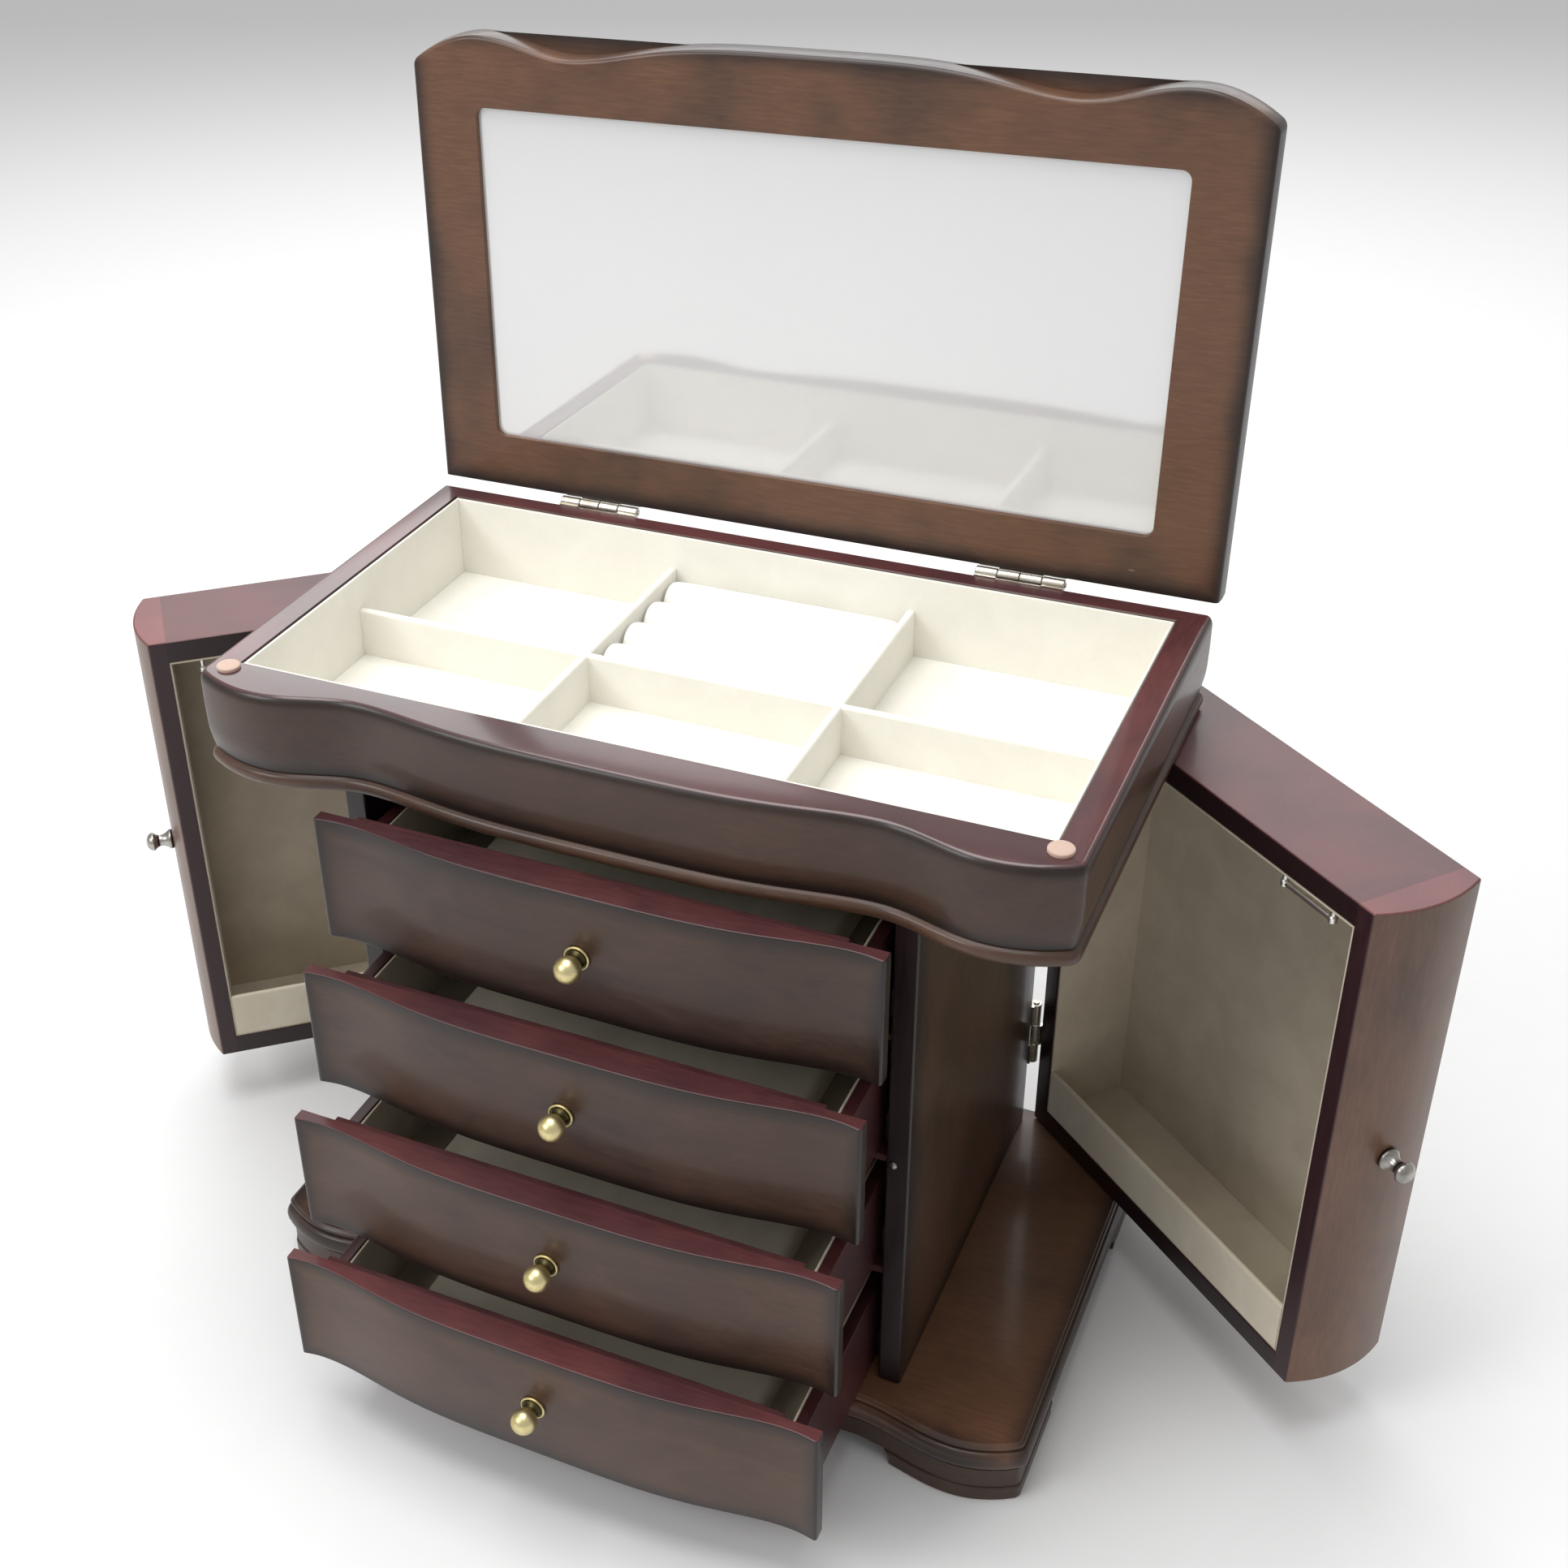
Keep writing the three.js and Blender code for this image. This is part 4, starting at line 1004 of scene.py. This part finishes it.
def make_lid_hinges():
    pivot = Vector(JOINTS["lid_hinge"]["pos_m"]) / MM
    axis = {"y": pivot.y - MIDDLE_Y, "z": pivot.z}
    for name, _ in SIDES:
        low, high = span(f"lid_hinge_{name}_case_leaf")
        start, end = low.x, high.x
        edges = [start + i * (end - start) / 4 for i in range(5)]
        across = [start + u * (end - start) for u in (0.2, 0.8)]
        top = pivot.z - LID_KNUCKLE - 0.6
        face = CASE_DEPTH_HALF
        shapes = [leaf(start, end, top - 10.5, top, face + 0.05, face + 1.1)]
        for k in (0, 3):
            x0, x1 = edges[k] + 0.1, edges[k + 1] - 0.1
            shapes.append(moved(rod(x0, x1, LID_KNUCKLE), **axis))
            shapes.append(board(x0, x1, face + 0.1, face + 1.3, top - 1, pivot.z))
        shapes.append(moved(rod(start - 0.5, end + 0.5, 1.0), **axis))
        shapes += screws(face + 1.1, [(x, top - 5.6) for x in across])
        hinge_leaf(f"lid_hinge_{name}_case_leaf", shapes, "chest")

        face = LID_EDGE
        shapes = [leaf(start, end, LID_KNUCKLE + 0.6, LID_FRAME_TOP + 3.4, face + 0.05, face + 1.1)]
        for k in (1, 2):
            x0, x1 = edges[k] + 0.1, edges[k + 1] - 0.1
            shapes.append(rod(x0, x1, LID_KNUCKLE))
            shapes.append(board(x0, x1, face + 0.1, face + 1.2, 0, LID_KNUCKLE + 1.2))
        shapes += screws(face + 1.1, [(x, LID_KNUCKLE + 6.2) for x in across])
        hinge_leaf(f"lid_hinge_{name}_lid_leaf", shapes, "lid")


def make_door_hinges(name, side):
    pivot = Vector(JOINTS[f"{name}_door_hinge"]["pos_m"]) / MM
    axis = {"x": pivot.x, "y": pivot.y - MIDDLE_Y, "turn": STANDING}
    edge = pivot.x - side * (DOOR_KNUCKLE + 0.3)
    for level in ("lower", "upper"):
        hinge = f"{name}_door_hinge_{level}"
        low, high = span(f"{hinge}_carcass_leaf")
        edges = [low.z + i * (high.z - low.z) / 3 for i in range(4)]
        heights = [low.z + v * (high.z - low.z) for v in (0.18, 0.82)]
        face = CARCASS_BACK
        x0, x1 = sorted((edge, edge - side * 12))
        shapes = [leaf(x0, x1, low.z, high.z, face + 0.05, face + 1.2)]
        for k in (0, 2):
            z0, z1 = edges[k] + 0.1, edges[k + 1] - 0.1
            shapes.append(moved(rod(z0, z1, DOOR_KNUCKLE), **axis))
            shapes.append(board(pivot.x, edge - side * 2, face + 0.2, face + 2.1, z0, z1))
        shapes.append(moved(rod(low.z - 0.6, high.z + 0.6, 1.5), **axis))
        shapes += screws(face + 1.2, [((x0 + x1) / 2, z) for z in heights])
        hinge_leaf(f"{hinge}_carcass_leaf", shapes, "chest")

        face = DOOR_REAR
        z0, z1 = edges[1] + 0.1, edges[2] - 0.1
        shapes = [
            leaf(*sorted((side * 3, side * 15)), low.z, high.z, face + 0.05, face + 1.2),
            moved(rod(z0, z1, DOOR_KNUCKLE), turn=STANDING),
            board(0, side * 5, face + 0.2, face + 2.1, z0, z1),
        ]
        shapes += screws(face + 1.2, [(side * 9.5, z) for z in heights])
        hinge_leaf(f"{hinge}_door_leaf", shapes, f"{name}_door")


# ---------- knobs ----------
KNOB_BALL = 5.1
KNOB_REACH = 7.9
KNOB_AROUND = 56


def knob_shape():
    """Ball on a waisted neck and a beaded flange, sticking out along -y from y = 0."""
    rows = [(0, 0.02), (4.85, 0.02)] + arc(0.62, -80, 100, 10, (4.55, 0.70)) + [(4.1, 1.12), (3.5, 1.22)]
    for i in range(8):
        t = i / 8
        rows.append((3.1 + 0.8 * (1 - t) ** 2, 1.3 + 2.5 * t))
    start = math.degrees(math.asin(3.15 / KNOB_BALL)) - 90
    return turned_shape(rows + arc(KNOB_BALL, start, 90, 27, (0, KNOB_REACH)), KNOB_AROUND)


def spool_knob_shape():
    """Domed head on a hollow waist and a flared base, sticking out along -y from y = 0."""
    rows = [(0, 0.02), (4.3, 0.02), (4.5, 0.2), (4.6, 0.5), (4.6, 1.4), (4.5, 1.75), (4.25, 1.95)]
    rows += [(2.65 + 1.6 * (1 - i / 12) ** 2, 1.95 + 3.85 * i / 12) for i in range(1, 13)]
    rows += [(2.65 + 1.55 * (i / 10) ** 2, 5.8 + 2.9 * i / 10) for i in range(1, 11)]
    rows += [(4.36, 8.85), (4.4, 9.05), (4.36, 9.3)]
    return turned_shape(rows + arc((4.38, 3.35), 4, 90, 18, (0, 9.05))[1:], KNOB_AROUND)


# ---------- drawers ----------
DRAWER_CORNER = 1.8
DRAWER_EASE = 0.6
DRAWER_FRONT_BOX = (2 * DRAWER_HALF, 13, 54.3)


def make_drawer(number, front_wood):
    body = f"drawer_{number}"
    z0, z1 = (corner.z for corner in span(f"{body}_front"))
    loop = flat_back(outline(DRAWER_FRONT, DRAWER_BACK, DRAWER_CORNER, half=DRAWER_HALF), DRAWER_BACK)
    shoulder = z1 - DRAWER_EASE
    profile = [(-DRAWER_EASE, z0), (-0.3, z0 + 0.1), (-0.1, z0 + 0.3), (0.0, z0 + 0.7), (0.0, shoulder)]
    profile += arc(DRAWER_EASE, 15, 90, 5, (-DRAWER_EASE, shoulder))
    piece(f"{body}_front", [moulded(loop, profile)], body, front_wood, smooth=45)

    floor = z0 - 0.6
    side_top = z1 - BOX_LOWER
    inner = BOX_HALF - BOX_WALL
    inner_back = BOX_BACK - BOX_WALL
    shapes = [
        board(-BOX_HALF, -inner, DRAWER_BACK + 0.1, BOX_BACK, floor, side_top),
        board(inner, BOX_HALF, DRAWER_BACK + 0.1, BOX_BACK, floor, side_top),
        board(-inner, inner, inner_back, BOX_BACK, floor, side_top),
        board(-inner, inner, DRAWER_BACK + 0.05, DRAWER_BACK + RISER + 0.3, floor + 1, z1),
        board(-inner, inner, DRAWER_BACK + RISER, inner_back, floor + 0.4, floor + 3),
    ]
    piece(f"{body}_box", shapes, body, BOX_WOOD, bevel=0.5, segments=2,
          joint=lambda x, y, z: y < DRAWER_BACK + 0.2)
    make_drawer_lining(number, floor + 3.1, side_top - 0.3)
    at = (0, DRAWER_FRONT[0], (z0 + z1) / 2)
    piece(f"{body}_knob", [knob_shape()], body, BRASS, at=at, smooth=60)


def make_drawer_lining(number, low, top):
    outer_x = BOX_HALF - BOX_WALL - 0.1
    outer_y0, outer_y1 = DRAWER_BACK + RISER + 0.4, BOX_BACK - BOX_WALL - 0.1
    inner_x, y0, y1 = outer_x - LINING, outer_y0 + LINING, outer_y1 - LINING
    shapes = [
        upright_board(-outer_x, -inner_x, outer_y0, outer_y1, low, top, "y"),
        upright_board(inner_x, outer_x, outer_y0, outer_y1, low, top, "y"),
        upright_board(-inner_x, inner_x, outer_y0, y0, low, top, "x"),
        upright_board(-inner_x, inner_x, y1, outer_y1, low, top, "x"),
        board(-inner_x, inner_x, y0, y1, low, low + LINING),
    ]
    body = f"drawer_{number}"
    piece(f"{body}_lining", shapes, body, SHADED_CREAM, bevel=0.2, segments=2)
    make_drawer_pad(number, y0 + PAD_GAP, y1 - PAD_GAP, low + LINING + 0.2)


PAD_HALF = 77
PAD_HEIGHT = 12
PAD_ROUND = 5.0
PAD_GAP = 1.5
PAD_STATIONS = 60
PAD_ROWS = 14


def make_drawer_pad(number, y0, y1, floor):
    """Stuffed mat on the drawer's floor, stopping short of the two sides. The cap on the cloth run
    holds back nearly every point, so the mat is only slightly crowned."""
    top = floor + PAD_HEIGHT
    middle_y, middle_z = (y0 + y1) / 2, floor + PAD_HEIGHT / 2
    rings = []
    for k in range(PAD_STATIONS + 1):
        t = -math.cos(math.pi * k / PAD_STATIONS)
        x = PAD_HALF * (0.25 * t + 0.75 * t * (1 + 0.25 * (1 - t * t)))
        x = min(max(x, -PAD_HALF), PAD_HALF)
        off = min(PAD_ROUND, PAD_HALF - abs(x))
        radius = math.sqrt(max(0.0, PAD_ROUND ** 2 - (PAD_ROUND - off) ** 2)) + 0.3
        ring = []
        for cy, cz, start in ((y1, floor, -90), (y1, top, 0), (y0, top, 90), (y0, floor, 180)):
            centre = (cy + math.copysign(PAD_ROUND, middle_y - cy),
                      cz + math.copysign(PAD_ROUND, middle_z - cz))
            ring += arc(radius, start, start + 90, 5, centre)
        even = []
        for (ya, za), (yb, zb) in zip(ring, ring[1:] + ring[:1]):
            parts = PAD_ROWS if abs(yb - ya) > 40 else 1
            even += [(x, ya + (yb - ya) * i / parts, za + (zb - za) * i / parts) for i in range(parts)]
        rings.append(even)
    body = f"drawer_{number}"
    pad = piece(f"{body}_pad", [loft(rings)], body, SHADED_PAD_SUEDE,
                smooth=80)
    stuff(pad, pressure=1.2, cap=0.9)


def make_drawers():
    for number in range(1, 5):
        # tone rises from the top drawer to the bottom one: painted light, upper fronts darker and lower
        # fronts lighter as the light falls on them.
        wood = walnut(f"drawer_{number}_walnut", edges="xz", size=DRAWER_FRONT_BOX, edge_width=9,
                      burnish=0.4, plum=[(0, 0, 1)], tone=0.64 + 0.08 * number)
        make_drawer(number, wood)


# ---------- doors ----------
DOOR_PANEL_BOX = (6, 160, 209)
ARCH_STEPS = 32
POCKET_HEIGHT = 24


def make_door(name, side):
    body = f"{name}_door"
    front = DOOR_CORNER + DOOR_FRONT_STILE
    rear = DOOR_REAR - DOOR_REAR_STILE
    low, high = DOOR_BOTTOM + DOOR_RAIL, DOOR_TOP - DOOR_RAIL
    inside, outside = side * DOOR_INNER, side * DOOR_OUTER

    bracket = [(DOOR_REAR, DOOR_BOTTOM), (DOOR_REAR, DOOR_TOP), (front, DOOR_TOP), (front, high),
               (rear, high), (rear, low), (front, low), (front, DOOR_BOTTOM)]
    frame_shape = loft([[(x, y, z) for y, z in bracket] for x in sorted((inside, outside))])
    # Tops stained plum; the face towards the chest is painted nearly black, a painted shade.
    stain_and_shade = {"plum": [(0, 0, 1)], "shade": [(-side, 0, 0)]}
    shell = walnut(f"{name}_door_shell", grain="z", **stain_and_shade)
    piece(f"{body}_frame", [frame_shape], body, shell, bevel=0.8,
          joint=lambda x, y, z: y < front + 0.01)

    arch = [(inside, front), (inside, DOOR_CORNER)]
    for i in range(1, ARCH_STEPS):
        t = i / ARCH_STEPS
        arch.append((inside + (outside - inside) * t, DOOR_CORNER - 4 * DOOR_BULGE * t * (1 - t)))
    arch += [(outside, DOOR_CORNER), (outside, front)]
    arch_wood = walnut(f"{name}_door_arch", grain="z", burnish=0.45, tone=1.75, **stain_and_shade)
    piece(f"{body}_front", [prism(arch, DOOR_BOTTOM, DOOR_TOP)], body, arch_wood,
          bevel=0.8, joint=lambda x, y, z: y > front - 0.01)
    panel = walnut(f"{name}_door_panel", grain="z", edges="yz", size=DOOR_PANEL_BOX, edge_width=18,
                   burnish=0.7)
    shape = board(outside - side * DOOR_PANEL, outside, rear - 0.05, front + 0.05, low + 0.05, high - 0.05)
    piece(f"{body}_side_panel", [shape], body, panel, bevel=0.4)
    make_door_lining(name, side, low, high, rear, front)
    at = ((inside + outside) / 2, DOOR_CORNER - DOOR_BULGE, (DOOR_BOTTOM + DOOR_TOP) / 2)
    piece(f"{body}_knob", [spool_knob_shape()], body, PEWTER, at=at, smooth=60)
    make_rail(name, side, high)
    make_door_hinges(name, side)


def make_door_lining(name, side, low, high, rear, front):
    """Suede-covered boards on the five inner faces, their edges showing at the opening."""
    gap = 0.1
    deep = DOOR_OUTER - DOOR_PANEL
    back = side * (deep - LINING)
    start = side * (DOOR_INNER + 0.3)
    y0, y1 = front + LINING, rear - LINING
    shapes = [
        board(back, side * (deep - gap), front + gap, rear - gap, low + gap, high - gap),
        board(start, back, y1, rear - gap, low + gap, high - gap),
        board(start, back, front + gap, y0, low + gap, high - gap),
        board(start, back, y0, y1, high - LINING, high - gap),
        board(start, back, y0, y1, low + gap, low + LINING),
    ]
    body = f"{name}_door"
    piece(f"{body}_lining", shapes, body, SHADED_CREAM, bevel=0.25, segments=2)
    x0, x1 = sorted((side * (DOOR_INNER + 0.1), side * (DOOR_INNER + 2.4)))
    lip = upright_board(x0, x1, y0, y1, low + LINING, low + POCKET_HEIGHT, "y", 1.0)
    piece(f"{body}_pocket_lip", [lip], body, LESS_SHADED_CREAM_LIP, smooth=50)


RAIL_X = 5
RAIL_FROM = -132
RAIL_TO = -160.5
RAIL_DROP = 6.8
RAIL_RADIUS = 1.25


def make_rail(name, side, ceiling):
    """Necklace rail along y, on two posts that hang from round plates."""
    x, z = side * RAIL_X, ceiling - 0.3 - RAIL_DROP
    low = ceiling - LINING
    shapes = [moved(rod(RAIL_TO, RAIL_FROM, RAIL_RADIUS, segments=28), x, 0, z, ABOUT_Z)]
    post = [(z - 1.2, low, 1.1, 0.2), (z - 1.7, z + 1.7, 1.75, 0.7), (low - 0.8, low + 0.1, 2.4, 0.25)]
    for y in (RAIL_FROM - 1.5, RAIL_TO + 1.5):
        shapes += [moved(rod(*row, segments=28), x, y, 0, STANDING) for row in post]
    piece(f"{name}_door_necklace_rail", shapes, f"{name}_door", RAIL_NICKEL, smooth=40)


# ---------- stage ----------
FLOOR_EDGE = 4.0
WORLD_STRENGTH = 0.55
LIGHTS = {                                   # place and aim in metres, size, watts
    "overhead": ((-0.2, -0.05, 1.7), (0, 0, 0.2), (1.2, 1.0), 19),
    "behind": ((-0.5, 1.6, 1.4), (0, 0, 0.25), (2.3, 0.9), 18),
    "front": ((-1.02, -1.3, 1.42), (0, 0, 0.3), (0.75, 0.7), 13),
}


def area_light(name, at, aim, size, watts):
    data = bpy.data.lights.new(name, "AREA")
    data.shape = "RECTANGLE"
    data.size, data.size_y = size
    data.energy = watts
    lamp = bpy.data.objects.new(name, data)
    lamp.location = at
    lamp.rotation_euler = (Vector(aim) - Vector(at)).to_track_quat("-Z", "Y").to_euler()
    bpy.context.scene.collection.objects.link(lamp)


def make_stage():
    n = Nodes("pale_floor")
    paper = n.noise(n.coordinates(), 60, detail=2)
    n.set(Base_Color=n.mix(paper, (0.80, 0.80, 0.80), (0.82, 0.82, 0.82)), Roughness=0.9,
          Specular_IOR_Level=0.1)
    floor_mesh = bpy.data.meshes.new("floor")
    corners = [(x * FLOOR_EDGE, y * FLOOR_EDGE, 0) for x, y in ((-1, -1), (1, -1), (1, 1), (-1, 1))]
    floor_mesh.from_pydata(corners, [], [(0, 1, 2, 3)])
    floor_mesh.materials.append(n.material)
    floor = bpy.data.objects.new("floor", floor_mesh)
    bpy.context.scene.collection.objects.link(floor)

    world = bpy.data.worlds.new("studio")
    bpy.context.scene.world = world
    world.use_nodes = True
    background = world.node_tree.nodes["Background"]
    background.inputs["Color"].default_value = (1.0, 1.0, 1.0, 1.0)
    background.inputs["Strength"].default_value = WORLD_STRENGTH
    for name, setup in LIGHTS.items():
        area_light(name, *setup)
    bpy.context.scene.view_settings.view_transform = "Standard"


# ---------- assembly ----------
make_base()
make_carcass()
make_case()
make_tray()
make_lid()
make_lid_hinges()
make_drawers()
for door_name, door_side in SIDES:
    make_door(door_name, door_side)
backing = frame["nodes"]["mirror_backing"].data
backing.materials.clear()
backing.materials.append(CARD)
make_stage()
